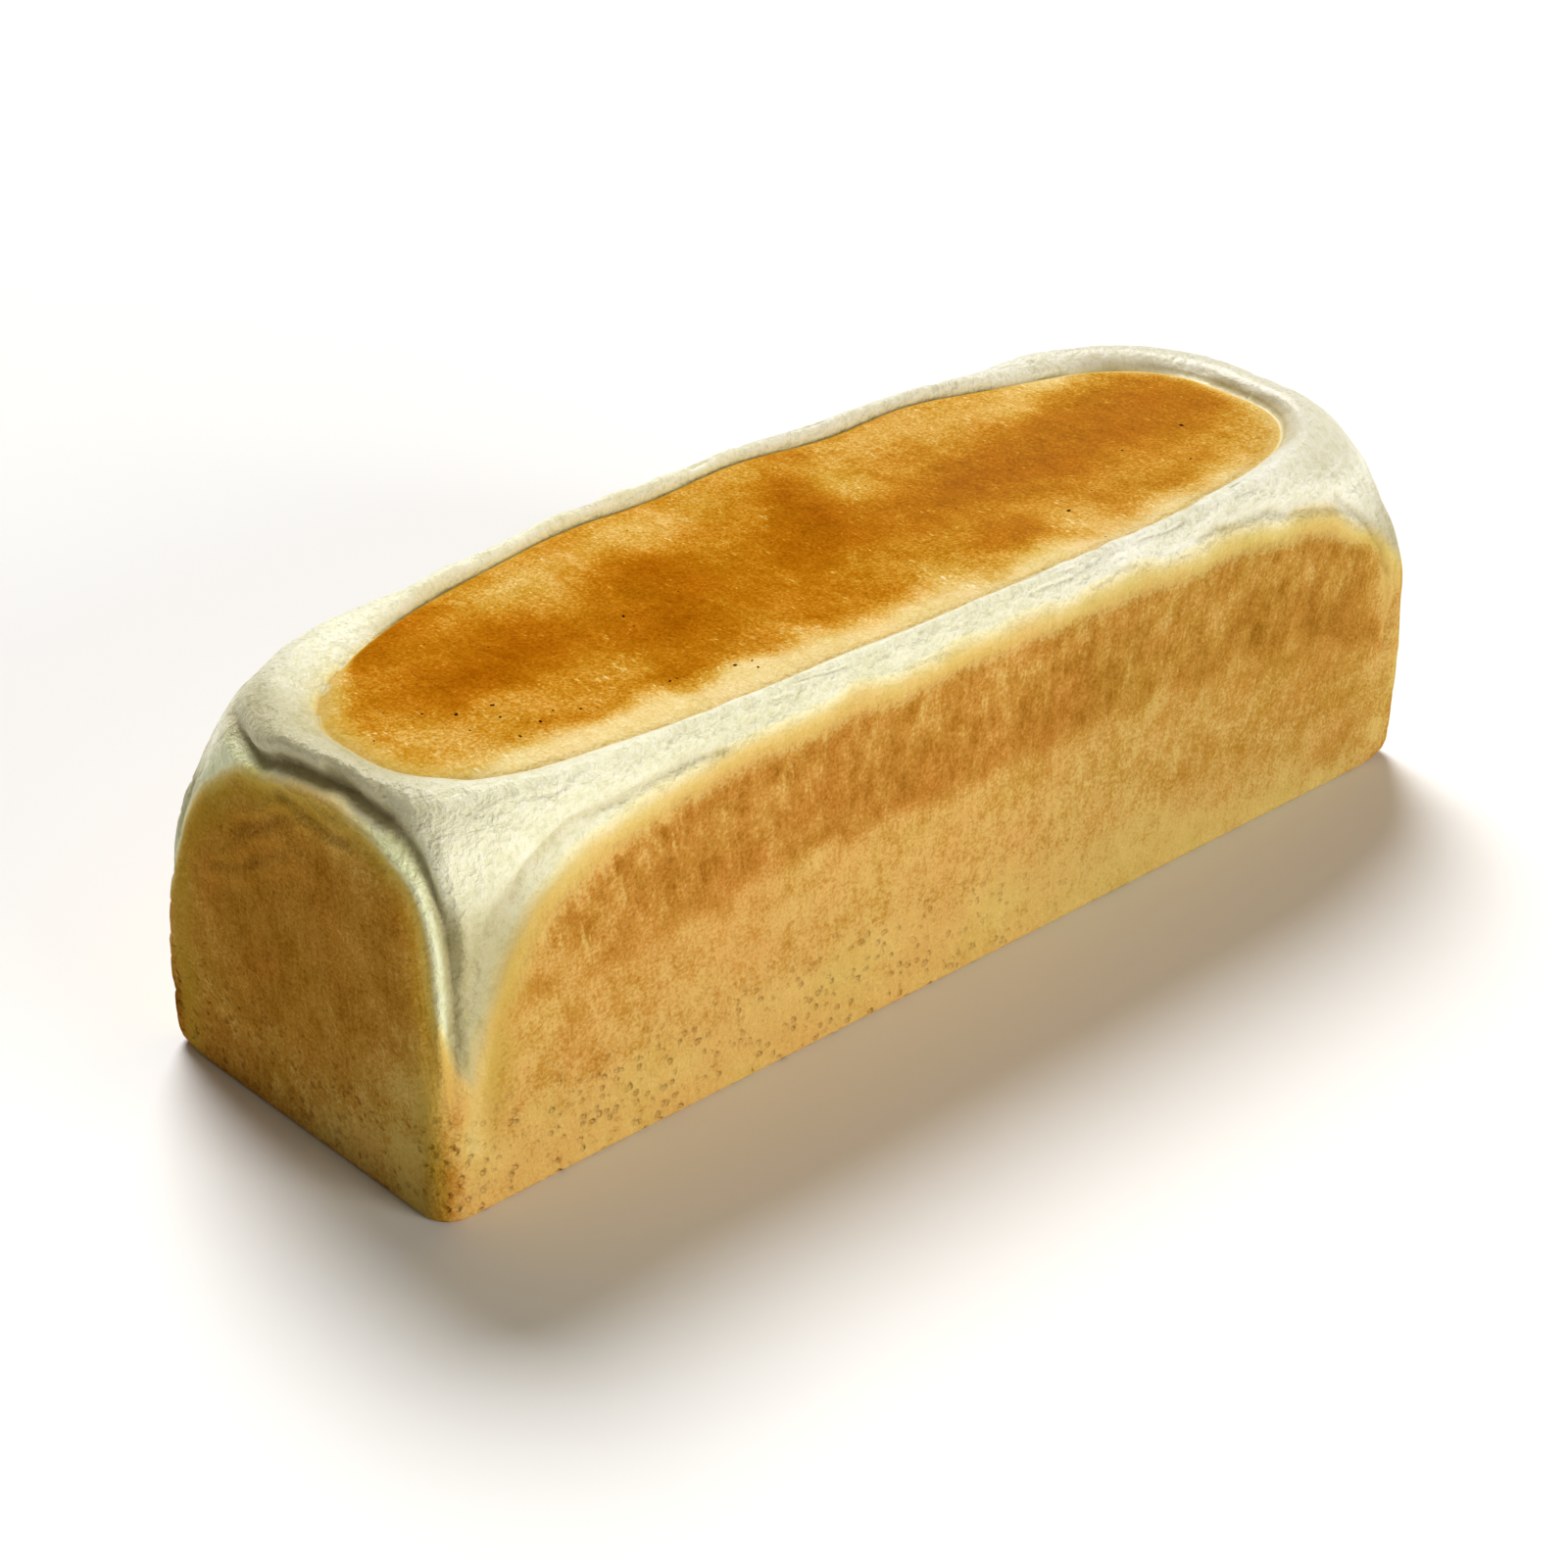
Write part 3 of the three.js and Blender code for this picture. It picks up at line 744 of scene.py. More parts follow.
def shaped_points(surface):
    """The points with all relief: full on the walls, and only the skin's and panel's on top."""
    relief = groove_relief(surface) + fold_relief(surface) + crust_relief(surface) + crease_relief(surface)
    relief = surface.below_crest * relief + skin_relief(surface)
    relief = relief + smooth_step(surface.in_panel / RELIEF_FADE) * dimples(surface.points, PANEL_DIMPLES)
    off_base = smooth_step(surface.z / RELIEF_FADE)
    return surface.points + surface.normals() * (relief * off_base)[..., None]


# ----------
# Browning of the crust

def blotchy(surface, size, amount, seed):
    """Places pushed about by noise, so that soft patches get uneven edges."""
    return [amount * noise(surface.points / size, seed + axis) for axis in (0, 1)]


def rim_share(surface):
    """0 at the rim's crest and 1 at the panel's edge."""
    return np.clip((surface.level - surface.crest_ring) / RIM_RINGS, 0, 1)


def front_band(x, y):
    to_left = span(x, *TOP_BAND_CHANGES)
    past_edge = mix(*TOP_BAND_EDGE, to_left) - y
    return smooth_step(past_edge / mix(*TOP_BAND_FADE, to_left) + 1 / 2) * span(x, *TOP_BAND_ENDS)


def top_browning(surface):
    du, dv = blotchy(surface, *TOP_BLOTCHES)
    x, y = surface.x + du, surface.y + dv
    full = mix(TOP_BROWNING + patches(x, y, TOP_PATCHES), TOP_BAND_BROWNING, front_band(x, y))
    left = span(surface.x, *LEFT_TIP)
    right = span(surface.x, *RIGHT_TIP)
    back = span(surface.y, *BACK_HALF) * (1 - left)
    more = TOP_EDGE_FADE
    fade = more["front"] + more["left"] * left + more["right"] * right + more["back"] * back
    full = mix(np.minimum(TOP_EDGE_BROWNING, full), full, smooth_step(surface.in_panel / fade))
    warmed = RIM_EDGE_BROWNING * span(rim_share(surface), *RIM_EDGE_SPAN) * (1 - back)
    ragged = left * dimples(surface.points, TOP_EDGE_RAGGED)
    return np.maximum(full * span(surface.in_panel + ragged, *TOP_EDGE_SPAN), warmed)


def side_band(place, z):
    """The browner upper part of a side, which reaches lower at both ends."""
    foot = SIDE_BAND_FOOT - steps(place, SIDE_BAND_DROPS)
    return SIDE_BAND_BROWNING * smooth_step((z - foot) / SIDE_BAND_FADE + 1 / 2)


def strip_pinch(surface, pinch):
    """How far a wall's crust reaches into the pale strip down a corner, low on the wall."""
    above = surface.rays.of_end(STRIP_NARROWS_FROM) - surface.z
    return surface.rays.of_end(pinch) * smooth_step(above / STRIP_NARROWS_OVER)


def crust_share(depth, fade, crust):
    """How browned a wall is at a depth inside its crust's edge: quickly at first."""
    return np.clip((depth + crust["reach"]) / fade, 0, 1) ** crust["power"]


def side_browning(surface, du, dv):
    place, z = surface.rays.side_place + du, surface.z + dv
    paleness = SIDE_FOOT_PALENESS * span(z, SIDE_FOOT_HEIGHT, 0)
    full = SIDE_BROWNING - paleness + patches(place, z, SIDE_PATCHES)
    full = full + side_band(place, surface.z + SIDE_BAND_BLOTCHED * dv)
    depth = SIDE_CRUST["blotched"] * du - surface.past_side + strip_pinch(surface, SIDE_PINCH)
    fade = mix(*SIDE_CRUST_FADE, span(surface.rays.side_place, *SIDE_CRUST_CHANGES))
    return full * crust_share(depth, fade, SIDE_CRUST)


def end_browning(surface, du, dv):
    place = surface.rays.end_place
    full = END_BROWNING + patches(place + du, surface.z + dv, END_PATCHES)
    bare_lip = BARE_LIP * span(place, *BARE_LIP_PLACE) * span(surface.z, *BARE_LIP_HEIGHT)
    depth = END_CRUST["blotched"] * dv - surface.past_end - bare_lip + strip_pinch(surface, END_PINCH)
    return full * crust_share(depth, END_CRUST_FADE, END_CRUST)


def wall_browning(surface):
    du, dv = blotchy(surface, *WALL_BLOTCHES)
    at_foot = span(surface.z - dv, *STRIP_FOOT)
    crust = np.maximum(side_browning(surface, du, dv), end_browning(surface, du, dv))
    away = surface.rays.past_corner
    corner = FOOT_CORNER_BROWNING * bump(away, FOOT_CORNER_WIDTH) * at_foot
    corner = corner - CORNER_PALENESS * bump(away, CORNER_PALE_WIDTH) * (1 - at_foot)
    return np.maximum(np.maximum(crust, STRIP_FOOT_BROWNING * at_foot) + corner, 0)


def strip_painted_shade(surface):
    """Painted shade on the pale strip down a corner: darker below the shoulder, and most beside the end's
    groove.
    """
    lowness = span(surface.z, *STRIP_SHADE_DEEPENS) * span(surface.past_end, *STRIP_PAST_ARCH)
    beside_groove = ridge(surface.past_end, GROOVE_SIDE_PAINTED_SHADE) * span(surface.z, *GROOVE_SIDE_SHADE_DEEPENS)
    return np.maximum(STRIP_PAINTED_SHADE * lowness, beside_groove)


def rim_painted_shade(surface):
    """Painted shade on the rim at the ends, apart from the near corner's front."""
    left = steps(surface.x, RIM_LEFT_PAINTED_SHADES) * span(surface.y, *RIM_FRONT_CLEAR)
    return (left + steps(surface.x, RIM_RIGHT_PAINTED_SHADES)) * span(surface.z, *RIM_SHADE_HEIGHT)


def olive_on_walls(surface):
    """Just inside the ends' arches, and inside the sides' arches near the left end."""
    near_left = span(surface.x, *OLIVE_SIDE_PLACE) * span(surface.z, *OLIVE_SIDE_HEIGHT)
    on_side = in_band(surface.past_side, OLIVE_SIDE_BAND) * near_left
    return np.maximum(OLIVE_ON_END * in_band(surface.past_end, OLIVE_END_BAND), OLIVE_ON_SIDE * on_side)


def olive_and_painted_shade_on_top(surface):
    """Olive on the panel's left tip; along its back edge and on the rim at the right end, in its valley,
    olive that is also painted shade.
    """
    tip = span(surface.x, *OLIVE_TIP_PLACE) * span(surface.in_panel, *OLIVE_TIP_REACH)
    back = span(surface.y, *BACK_HALF) * ridge(surface.in_panel, BACK_EDGE_OLIVE_AND_PAINTED_SHADE)
    on_panel = np.maximum(tip, back) * span(surface.in_panel, *OLIVE_PANEL_EDGE)
    share = rim_share(surface)
    on_rim = span(surface.x, *RIGHT_RIM) * 4 * share * (1 - share)
    return OLIVE_AND_PAINTED_SHADE_ON_PANEL * on_panel + RIM_VALLEY_OLIVE_AND_PAINTED_SHADE * on_rim


def shade_on_walls(surface):
    depth = -groove_relief(surface) - CREASE_SHADE * crease_relief(surface)
    return surface.below_crest * np.clip(depth / FULL_SHADE_DEPTH, 0, DARKEST_SHADE)


def masks_of(surface):
    on_top = surface.level >= surface.crest_ring
    on_panel = span(surface.in_panel, *PANEL_STARTS)
    panel_shade = ridge(surface.in_panel, PANEL_CREASE_SHADE) * span(surface.y, *FRONT_HALF)
    right_rim = span(surface.x, *RIGHT_RIM) * span(rim_share(surface), *RIGHT_RIM_STARTS)
    return {
        "browning": np.where(on_top, top_browning(surface), wall_browning(surface)),
        "on_wall": span(surface.z, *WALL_TOP),
        # olive: the crust's own colour, and painted shade along the panel's back edge and in the right rim's
        # valley
        "olive_and_painted_shade": np.where(on_top, olive_and_painted_shade_on_top(surface), olive_on_walls(surface)),
        # painted shade in the walls' grooves and creases, and just outside the panel's front edge
        "hollow": np.where(on_top, panel_shade, shade_on_walls(surface)),
        "streaked": toasted(surface),
        "pores": span(surface.z, *PORES_HEIGHT) * span(surface.x, *PORES_PLACE),
        "on_panel": on_panel,
        "on_end_wall": span(np.abs(surface.x), *END_WALL) * surface.below_crest,
        # painted shade on the skin of the end rims and the corner strips
        "painted_skin_shade": np.maximum(rim_painted_shade(surface), strip_painted_shade(surface) * surface.below_crest),
        # where a painted sheen lies on top, and where the skin and the walls are tinted
        "sheen_and_tint_share": span(surface.x, *SHEEN_AND_TINT_PLACE),
        "roughened": 1 - RIGHT_RIM_SMOOTHNESS * right_rim * (1 - on_panel),
    }


# ----------
# The meshes

def centre_line(rays, first_index):
    """One vertex for each centre point, shared by all rays from it."""
    places, numbers = np.unique(np.round(rays.x, 3), return_inverse=True)
    return places, numbers + first_index


def ring_faces(lower, upper):
    """Quads between two rings of vertex numbers, or triangles where two corners coincide."""
    corners = np.stack([lower, np.roll(lower, -1), np.roll(upper, -1), upper], -1).tolist()
    faces = [list(dict.fromkeys(corner)) for corner in corners]
    return [face for face in faces if len(face) > 2]


def crust_mesh():
    rays = rays_round()
    surface = Surface(rays)
    rings = shaped_points(surface)
    ring_points = rings.reshape(-1, 3)
    under_x, under = centre_line(rays, len(ring_points))
    over_x, over = centre_line(rays, len(ring_points) + len(under_x))
    under_points = np.stack([under_x, 0 * under_x, 0 * under_x], -1)
    over_points = np.stack([over_x, 0 * over_x, panel_height(over_x, 0)], -1)
    points = np.concatenate([ring_points, under_points, over_points])
    numbers = np.arange(len(ring_points)).reshape(rings.shape[:2])
    levels = [under, *numbers, over]
    faces = list(itertools.chain.from_iterable(map(ring_faces, levels, levels[1:])))

    mesh = bpy.data.meshes.new("crust")
    mesh.from_pydata((points * MM).tolist(), [], faces)
    for name, values in masks_of(surface).items():
        under_values = np.full(len(under_x), values[0].mean())
        over_values = np.interp(over_x, surface.x[-1][:SIDE_STEPS], values[-1][:SIDE_STEPS])
        attribute = mesh.attributes.new(name, "FLOAT", "POINT")
        attribute.data.foreach_set("value", np.concatenate([values.ravel(), under_values, over_values]))
    leant = WRINKLE_LEAN * surface.run * rays.x / HALF_LENGTH * rays.dy
    wound = np.concatenate([rays.loop(1, surface.run, leant).reshape(-1, 3), under_points, over_points])
    attribute = mesh.attributes.new("wound_place", "FLOAT_VECTOR", "POINT")
    attribute.data.foreach_set("vector", (wound * MM).ravel())
    mesh.shade_smooth()
    return mesh


def specks_mesh():
    """Small flattened grains, half sunk in the panel."""
    points, faces = [], []
    for x, y, radius in SPECKS:
        first = len(points)
        for row, side in itertools.product(range(SPECK_ROWS + 1), range(SPECK_SIDES)):
            tilt = math.pi * row / SPECK_ROWS
            turn = 2 * math.pi * side / SPECK_SIDES
            wide = radius * math.sin(tilt) * (1 + SPECK_UNEVENNESS * math.sin(2 * turn + x))
            z = panel_height(x, y) + SPECK_THICKNESS * radius * math.cos(tilt)
            points.append((x + wide * math.cos(turn), y + wide * math.sin(turn), z))
        for row, side in itertools.product(range(SPECK_ROWS), range(SPECK_SIDES)):
            after = (side + 1) % SPECK_SIDES
            low = first + row * SPECK_SIDES
            high = low + SPECK_SIDES
            faces.append((low + side, high + side, high + after, low + after))
    mesh = bpy.data.meshes.new("specks")
    mesh.from_pydata((np.array(points) * MM).tolist(), [], faces)
    mesh.shade_smooth()
    return mesh


# ----------
# Materials

def linear(red, green, blue, gain=1.0):
    """A colour from 0 to 255 as a shader's colour."""
    def channel(value):
        share = value / 255
        return gain * (share / 12.92 if share <= 0.04045 else ((share + 0.055) / 1.055) ** 2.4)
    return (channel(red), channel(green), channel(blue), 1)


def dimmed(gain, *stops):
    return [(place, linear(*colour, gain)) for place, *colour in stops]


class Nodes:
    """Short forms for the shader nodes that the materials use."""

    def __init__(self, material):
        material.use_nodes = True
        self.tree = material.node_tree
        self.shader = self.tree.nodes["Principled BSDF"]
        self.place = self.add("TexCoord").outputs["Object"]
        self.wound_place = self.add("Attribute", attribute_name="wound_place").outputs["Vector"]

    def add(self, kind, inputs=None, **settings):
        made = self.tree.nodes.new("ShaderNode" + kind)
        for name, value in settings.items():
            setattr(made, name, value)
        self.fill(made, inputs or {})
        return made

    def fill(self, node, inputs):
        for name, value in inputs.items():
            if isinstance(value, bpy.types.NodeSocket):
                self.tree.links.new(value, node.inputs[name])
            else:
                node.inputs[name].default_value = value

    def math(self, operation, *values):
        total = values[0]
        for value in values[1:]:
            total = self.add("Math", {0: total, 1: value}, operation=operation).outputs[0]
        return total

    def plus(self, *values):
        return self.math("ADD", *values)

    def minus(self, first, second):
        return self.math("SUBTRACT", first, second)

    def times(self, *values):
        return self.math("MULTIPLY", *values)

    def mask(self, name):
        return self.add("Attribute", attribute_name=name).outputs["Fac"]

    def stretched(self, size_mm, place=None):
        """Places counted in steps of these sizes."""
        inputs = {0: place or self.place, 1: tuple(1 / (size * MM) for size in size_mm)}
        return self.add("VectorMath", inputs, operation="MULTIPLY").outputs[0]

    def noise(self, *size_mm, detail=2.0, roughness=0.5, place=None):
        vector = self.stretched(size_mm if len(size_mm) == 3 else size_mm * 3, place)
        inputs = {"Vector": vector, "Scale": 1.0, "Detail": detail, "Roughness": roughness}
        return self.add("TexNoise", inputs).outputs[0]

    def wound_noise(self, along_mm, across_mm, **settings):
        """Noise in a strip wound round the loaf: along it and up the walls and over the rim."""
        return self.noise(along_mm, along_mm, across_mm, place=self.wound_place, **settings)

    def ramp(self, value, stops):
        made = self.add("ValToRGB", {"Fac": value})
        elements = made.color_ramp.elements
        while len(elements) < len(stops):
            elements.new(1)
        for element, (position, colour) in zip(elements, stops):
            element.position = position
            element.color = colour
        return made.outputs["Color"]

    def span(self, value, start, end):
        """0 at the start, 1 at the end and smooth between."""
        inputs = {"Value": value, "From Min": start, "From Max": end}
        return self.add("MapRange", inputs, interpolation_type="SMOOTHSTEP").outputs[0]

    def mixed(self, share, first, second):
        """A number between two numbers."""
        inputs = {0: share, 2: first, 3: second}
        return self.add("Mix", inputs, data_type="FLOAT").outputs[0]

    def blend(self, share, first, second, blend_type="MIX"):
        """A colour between two colours."""
        inputs = {0: share, 6: first, 7: second}
        return self.add("Mix", inputs, data_type="RGBA", blend_type=blend_type).outputs[2]

    def tinted(self, colour, tint, share):
        return self.blend(share, colour, tint, "MULTIPLY")


SKIN = linear(244, 243, 233)
NEAR_TINT = linear(255, 254, 241)
# The colour of the painted shade on the skin's rims and corner strips.
SKIN_PAINTED_SHADE = linear(192, 183, 152)
# A pale colour mixed in on top towards the right as a painted sheen.
PAINTED_SHEEN = linear(220, 196, 140)
END_TINT = linear(243, 250, 230)
FAR_TINT = linear(244, 253, 255)
# Colours for an amount of browning: (amount, red, green, blue).
TOP_COLOURS = [(0.0, SKIN), (0.15, linear(252, 243, 200))] + dimmed(
    0.95, (0.26, 250, 227, 164), (0.36, 236, 199, 118), (0.48, 220, 170, 76),
    (0.6, 205, 144, 38), (0.74, 188, 117, 14), (1.0, 158, 86, 2),
)
WALL_COLOURS = [(0.0, SKIN), (0.12, linear(250, 241, 206))] + dimmed(
    0.93, (0.28, 237, 210, 139), (0.42, 228, 192, 113), (0.56, 221, 178, 103),
    (0.7, 200, 144, 64), (0.85, 178, 118, 42), (1.0, 146, 92, 22),
)
BURNT = linear(74, 38, 6)
# Olive is the crust's own colour, and stands for painted shade along the panel's back edge and in the right
# rim's valley.
OLIVE_AND_PAINTED_SHADE = linear(176, 144, 46)
# The colour of the painted shade in grooves and creases.
GROOVE_SHADE = linear(176, 150, 78)
# Painted shade in the hollows of the skin's crinkles and folds.
SKIN_PAINTED_SHADES = ((0.25, linear(226, 224, 196)), (0.5, linear(250, 250, 240)), (0.65, linear(255, 255, 255)))
CRUST_TINTS = ((0.3, linear(255, 244, 236)), (0.5, linear(255, 255, 252)), (0.7, linear(250, 255, 238)))
SPECK_COLOURS = ((0.3, linear(34, 16, 2)), (0.7, linear(84, 42, 4)))


# Marks show in groups, which are (size in mm, noise from which they show, noise from which fully).
FLECK_GROUPS = (9, 0.42, 0.62)
FLECK_SPAN = (0.6, 0.76)
STREAK_GROUPS = (7, 0.4, 0.62)
STREAK_SPAN = (0.56, 0.72)
DOT_GROUPS = (13, 0.52, 0.6)
DOT_CELL = 4.5
DOT_SPAN = (0.085, 0.03)
PORE_GROUPS = (5, 0.35, 0.57)
PORE_CELL = 2.5
PORE_SPAN = (0.45, 0.05)
PORE_PUSH_SIZE = 1.6
PORE_PUSH = 0.5
PORES_ANYWHERE = 0.2

BAKED_SPAN = (0.08, 0.42)
MOTTLED_SPAN = (0.1, 0.6)
FAR_TINT_SPAN = (0.1, 0.4)
PAINTED_SHEEN_SHARE = 0.035


def browned_colour(nodes, amount):
    """The colour of the crust for an amount of browning, a little redder on top than on the walls, with a
    painted sheen on top towards the right and olive that is partly painted shade.
    """
    sheen_and_tint_share = nodes.mask("sheen_and_tint_share")
    # A little painted sheen on top towards the right.
    on_top = nodes.blend(nodes.times(sheen_and_tint_share, PAINTED_SHEEN_SHARE), nodes.ramp(amount, TOP_COLOURS), PAINTED_SHEEN)
    on_wall = nodes.tinted(nodes.ramp(amount, WALL_COLOURS), END_TINT, nodes.mask("on_end_wall"))
    on_wall = nodes.tinted(on_wall, FAR_TINT, nodes.times(sheen_and_tint_share, nodes.span(amount, *FAR_TINT_SPAN)))
    colour = nodes.blend(nodes.mask("on_wall"), on_top, on_wall)
    return nodes.blend(nodes.mask("olive_and_painted_shade"), colour, OLIVE_AND_PAINTED_SHADE)


def total_of(nodes, *terms):
    """The sum of noises about their middle value, each times its weight."""
    return nodes.plus(*(nodes.times(nodes.minus(value, 0.5), weight) for value, weight in terms))


def grouped(nodes, marks, groups, share):
    size, low, high = groups
    return nodes.times(marks, nodes.span(nodes.noise(size), low, high), share)


def cell_dots(nodes, place, dot_span):
    """A round dot in each cell of a random pattern."""
    cells = nodes.add("TexVoronoi", {"Vector": place, "Scale": 1.0})
    return nodes.span(cells.outputs["Distance"], *dot_span)


def flecks(nodes):
    """Small pale dashes on top, where the crust blistered."""
    dashes = nodes.span(nodes.noise(0.7, 2.6, 1.5, detail=1.0), *FLECK_SPAN)
    return grouped(nodes, dashes, FLECK_GROUPS, nodes.mask("on_panel"))


def streaks(nodes):
    """Short pale upright creases in the toasted upper part of a wall."""
    dashes = nodes.span(nodes.wound_noise(1.9, 9), *STREAK_SPAN)
    return grouped(nodes, dashes, STREAK_GROUPS, nodes.mask("streaked"))


def burnt_dots(nodes):
    """Tiny burnt dots here and there on the panel."""
    dots = cell_dots(nodes, nodes.stretched((DOT_CELL,) * 3), DOT_SPAN)
    return grouped(nodes, dots, DOT_GROUPS, nodes.mask("on_panel"))


def pores(nodes):
    """Round pits left by gas bubbles against the tin, from 0 to 1 at their middles."""
    vector = nodes.stretched((PORE_PUSH_SIZE,) * 3)
    pushed = nodes.add("TexNoise", {"Vector": vector, "Scale": 1.0}).outputs["Color"]
    push = nodes.add("VectorMath", {0: pushed, 1: (PORE_PUSH,) * 3}, operation="MULTIPLY")
    cells = nodes.stretched((PORE_CELL,) * 3)
    place = nodes.add("VectorMath", {0: cells, 1: push.outputs[0]}).outputs[0]
    share = nodes.plus(nodes.times(nodes.mask("pores"), 1 - PORES_ANYWHERE), PORES_ANYWHERE)
    return grouped(nodes, cell_dots(nodes, place, PORE_SPAN), PORE_GROUPS, share)


def crust_textures(nodes):
    """What the crust's colour and height share."""
    on_panel = nodes.mask("on_panel")
    browning = nodes.mask("browning")
    is_baked = nodes.span(browning, *BAKED_SPAN)
    on_walls = nodes.wound_noise(5, 9, detail=4.0, roughness=0.6)
    across_panel = nodes.noise(1.7, 7, 5, detail=3.0)
    return SimpleNamespace(
        on_panel=on_panel,
        browning=browning,
        streaked=nodes.mask("streaked"),
        is_baked=is_baked,
        is_skin=nodes.minus(1.0, is_baked),
        grain=nodes.noise(0.8, detail=3.0, roughness=0.7),
        crinkles=nodes.noise(1.8, detail=4.0, roughness=0.6),
        folds=nodes.mixed(nodes.mask("on_wall"), nodes.wound_noise(14, 6, detail=4.0), on_walls),
        upright=nodes.mixed(on_panel, nodes.wound_noise(1.6, 7, detail=3.0), across_panel),
        ridges=nodes.wound_noise(4.5, 9, detail=3.0),
        pits=nodes.times(pores(nodes), is_baked),
    )


def skin_tone_and_painted_shade(nodes, crust):
    """Creamier towards the left end, with painted shade in the hollows of its crinkles and folds and where
    the rim and the strips are.
    """
    folded = total_of(nodes, (crust.crinkles, 0.65), (crust.folds, 0.4))
    shade = nodes.ramp(nodes.plus(folded, 0.5), SKIN_PAINTED_SHADES)
    shade = nodes.tinted(shade, NEAR_TINT, nodes.minus(1.0, nodes.mask("sheen_and_tint_share")))
    return nodes.tinted(shade, SKIN_PAINTED_SHADE, nodes.mask("painted_skin_shade"))


def crust_colour(nodes, crust):
    mottle = nodes.noise(7, detail=4.0, roughness=0.6)
    grain_weight = nodes.mixed(crust.on_panel, 0.6, 0.85)
    change = nodes.plus(
        total_of(nodes, (mottle, 0.42), (crust.upright, 0.2), (crust.grain, grain_weight)),
        nodes.times(total_of(nodes, (crust.ridges, 0.42)), crust.streaked),
        nodes.times(flecks(nodes), -0.26),
        nodes.times(streaks(nodes), -0.12),
        # Pits are a little browner: a slight painted shade in them.
        nodes.times(crust.pits, 0.08),
    )
    change = nodes.times(change, nodes.span(crust.browning, *MOTTLED_SPAN))
    colour = browned_colour(nodes, nodes.plus(crust.browning, change))
    tint = nodes.ramp(nodes.noise(14, detail=5.0, roughness=0.65), CRUST_TINTS)
    colour = nodes.tinted(colour, tint, crust.is_baked)
    colour = nodes.tinted(colour, skin_tone_and_painted_shade(nodes, crust), crust.is_skin)
    # Painted shade in the grooves and creases, and just outside the panel's front edge.
    colour = nodes.tinted(colour, GROOVE_SHADE, nodes.mask("hollow"))
    return nodes.blend(burnt_dots(nodes), colour, BURNT)


def crust_bumps(nodes, crust):
    pebbles = nodes.noise(4.5)
    skin = total_of(nodes, (pebbles, 2.4), (crust.crinkles, 2.4), (crust.folds, 1.4), (crust.grain, 0.4))
    baked = nodes.plus(
        total_of(nodes, (crust.grain, 1.0), (crust.crinkles, 1.4)),
        nodes.times(crust.upright, nodes.plus(nodes.times(crust.streaked, 2.0), 0.7)),
        nodes.times(crust.ridges, crust.streaked, 3.0),
        nodes.times(crust.pits, -2.2),
    )
    height = nodes.plus(nodes.times(skin, crust.is_skin), nodes.times(baked, crust.is_baked))
    inputs = {"Height": height, "Strength": nodes.mask("roughened"), "Distance": 0.0004}
    return nodes.add("Bump", inputs).outputs[0]


def crust_material():
    material = bpy.data.materials.new("crust")
    nodes = Nodes(material)
    crust = crust_textures(nodes)
    nodes.fill(nodes.shader, {
        "Base Color": crust_colour(nodes, crust),
        "Specular IOR Level": nodes.times(crust.is_skin, 0.45),
        "Roughness": 0.38,
        "Normal": crust_bumps(nodes, crust),
    })
    return material


def speck_material():
    material = bpy.data.materials.new("burnt")
    nodes = Nodes(material)
    colour = nodes.ramp(nodes.noise(0.3), SPECK_COLOURS)
    nodes.fill(nodes.shader, {"Base Color": colour, "Roughness": 0.8, "Specular IOR Level": 0.0})
    return material


# ----------
# Camera, light and floor

CAMERA_TURN = math.radians(46.4)
CAMERA_DOWN = math.radians(29.34)
CAMERA_ROLL = math.radians(1.13)
CAMERA_DISTANCE = 0.8229
CAMERA_AIM_HEIGHT = 0.050
CAMERA_SLIDE = -0.01153
CAMERA_RISE = -0.01911
LENS_MM = 80.29
SENSOR_MM = 36

SUNS = (
    # name, direction that it comes from, strength, width in degrees, colour
    ("high_sun", (0.42, 0.8, 1.12), 3.6, 28, (1, 1, 1)),
    ("front_sun", (0.2, -0.95, 0.2), 2.45, 30, (1, 0.98, 0.9)),
)
SKY_COLOUR = (1, 0.87, 0.66, 1)
SKY_STRENGTH = 0.14
FLOOR_REACH = 12.0


def add_object(name, data):
    made = bpy.data.objects.new(name, data)
    bpy.context.scene.collection.objects.link(made)
    return made


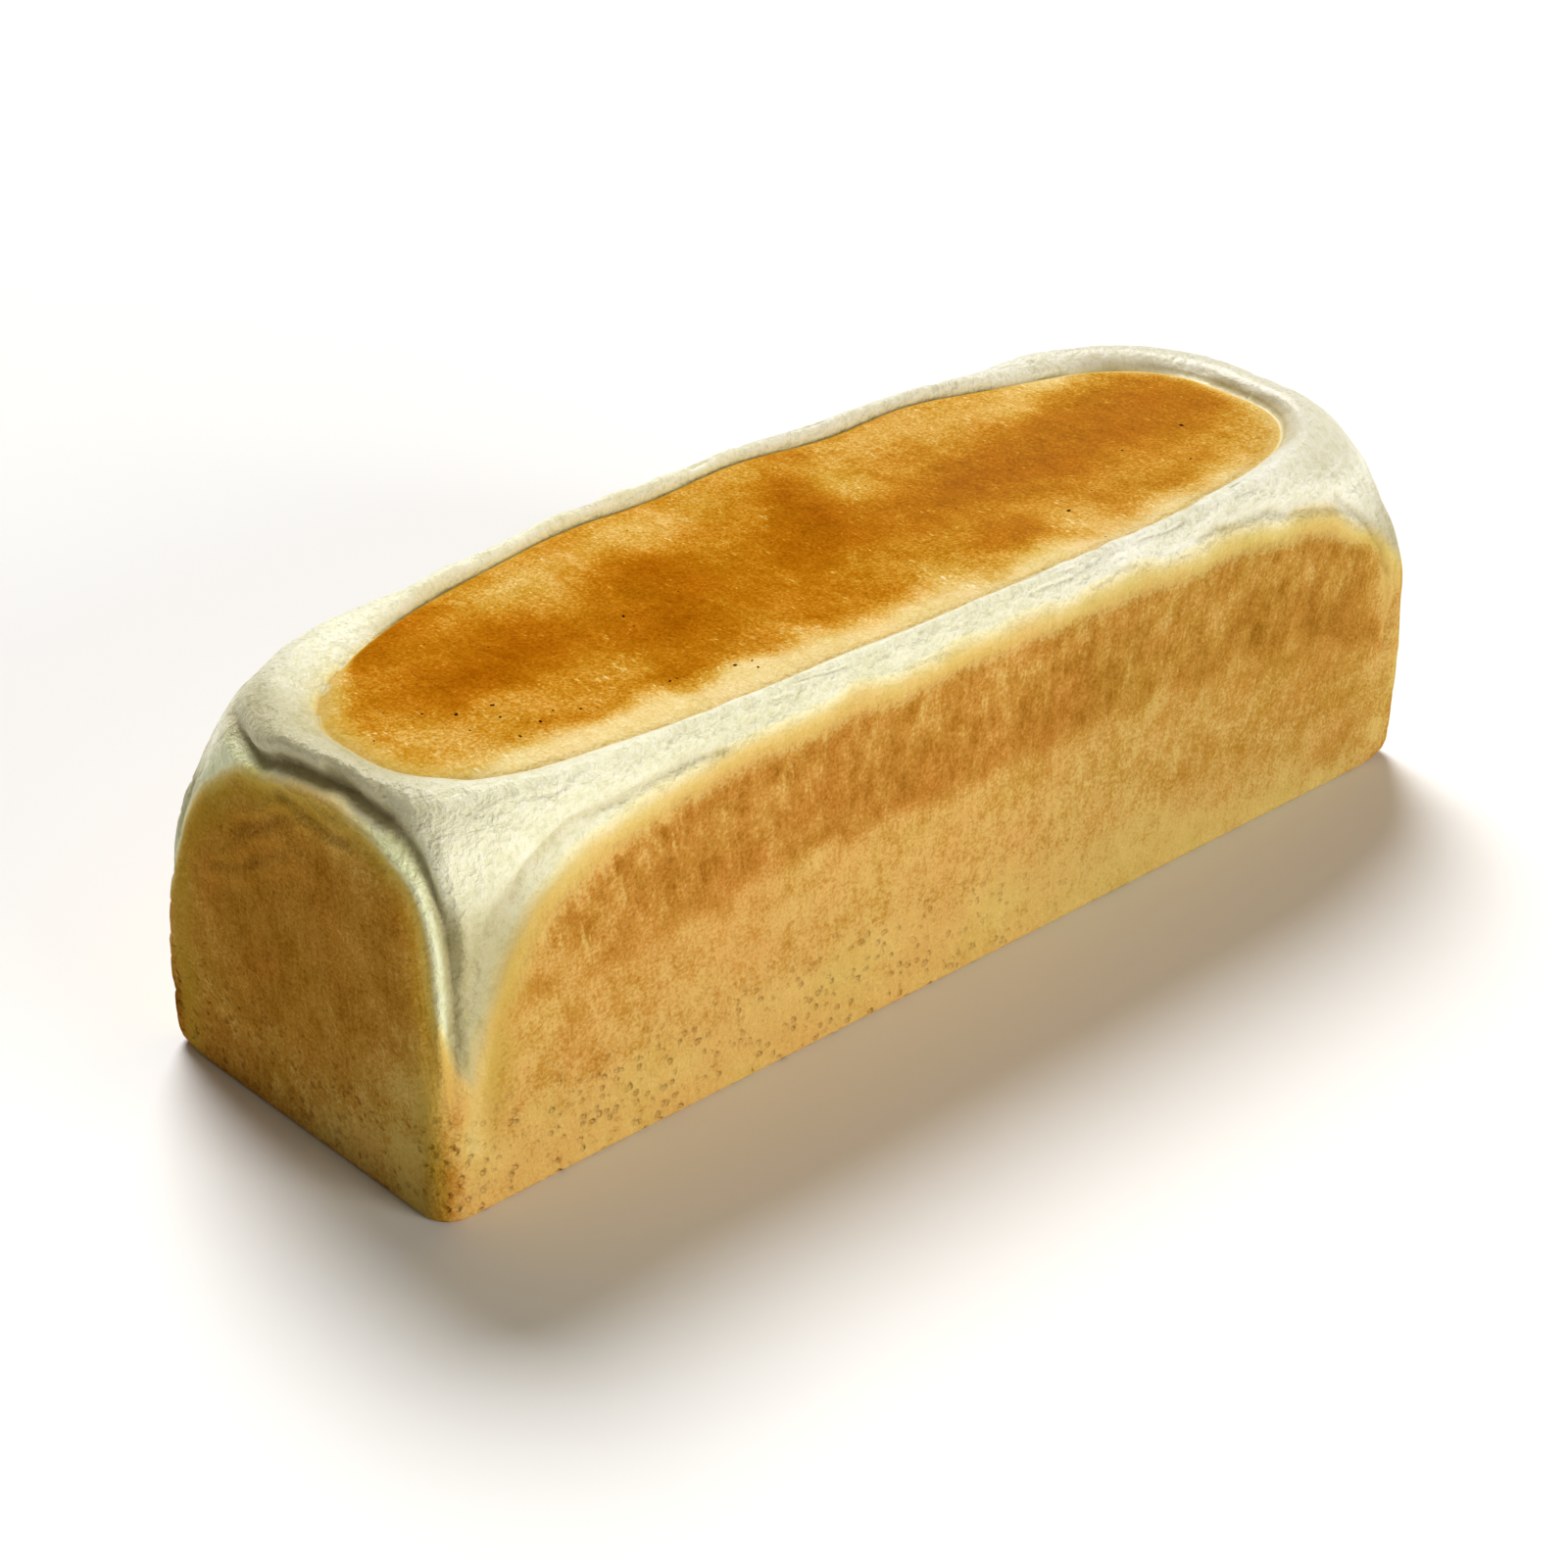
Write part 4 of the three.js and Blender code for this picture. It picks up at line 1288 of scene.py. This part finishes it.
def add_camera():
    forward = Vector((
        math.cos(CAMERA_TURN) * math.cos(CAMERA_DOWN),
        math.sin(CAMERA_TURN) * math.cos(CAMERA_DOWN),
        -math.sin(CAMERA_DOWN),
    ))
    level_right = forward.cross(Vector((0, 0, 1))).normalized()
    level_up = level_right.cross(forward)
    right = level_right * math.cos(CAMERA_ROLL) + level_up * math.sin(CAMERA_ROLL)
    up = level_up * math.cos(CAMERA_ROLL) - level_right * math.sin(CAMERA_ROLL)
    aim = Vector((0, 0, CAMERA_AIM_HEIGHT))
    place = aim - forward * CAMERA_DISTANCE + right * CAMERA_SLIDE + up * CAMERA_RISE
    data = bpy.data.cameras.new("camera")
    data.lens = LENS_MM
    data.sensor_width = SENSOR_MM
    camera = add_object("camera", data)
    turn = Matrix((right, up, -forward)).transposed().to_4x4()
    camera.matrix_world = Matrix.Translation(place) @ turn
    bpy.context.scene.camera = camera


def add_light():
    for name, direction, strength, width, colour in SUNS:
        data = bpy.data.lights.new(name, "SUN")
        data.energy = strength
        data.angle = math.radians(width)
        data.color = colour
        sun = add_object(name, data)
        sun.rotation_euler = Vector(direction).to_track_quat("Z", "Y").to_euler()
    world = bpy.data.worlds.new("studio")
    world.use_nodes = True
    background = world.node_tree.nodes["Background"]
    background.inputs["Color"].default_value = SKY_COLOUR
    background.inputs["Strength"].default_value = SKY_STRENGTH
    bpy.context.scene.world = world


def add_floor():
    mesh = bpy.data.meshes.new("floor")
    corners = [(x * FLOOR_REACH, y * FLOOR_REACH, 0) for x, y in ((-1, -1), (1, -1), (1, 1), (-1, 1))]
    mesh.from_pydata(corners, [], [(0, 1, 2, 3)])
    material = bpy.data.materials.new("pale_floor")
    material.use_nodes = True
    shader = material.node_tree.nodes["Principled BSDF"]
    shader.inputs["Base Color"].default_value = (0.9, 0.9, 0.9, 1)
    shader.inputs["Roughness"].default_value = 1.0
    shader.inputs["Specular IOR Level"].default_value = 0.0
    mesh.materials.append(material)
    add_object("floor", mesh)


# ----------
# Put together

def add_piece(name, mesh, material):
    mesh.materials.append(material)
    piece = add_object(name, mesh)
    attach(piece, "root")
    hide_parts("loaf")


bpy.context.scene.view_settings.view_transform = "Standard"
add_camera()
add_light()
add_floor()
add_piece("loaf_crust", crust_mesh(), crust_material())
add_piece("burnt_specks", specks_mesh(), speck_material())
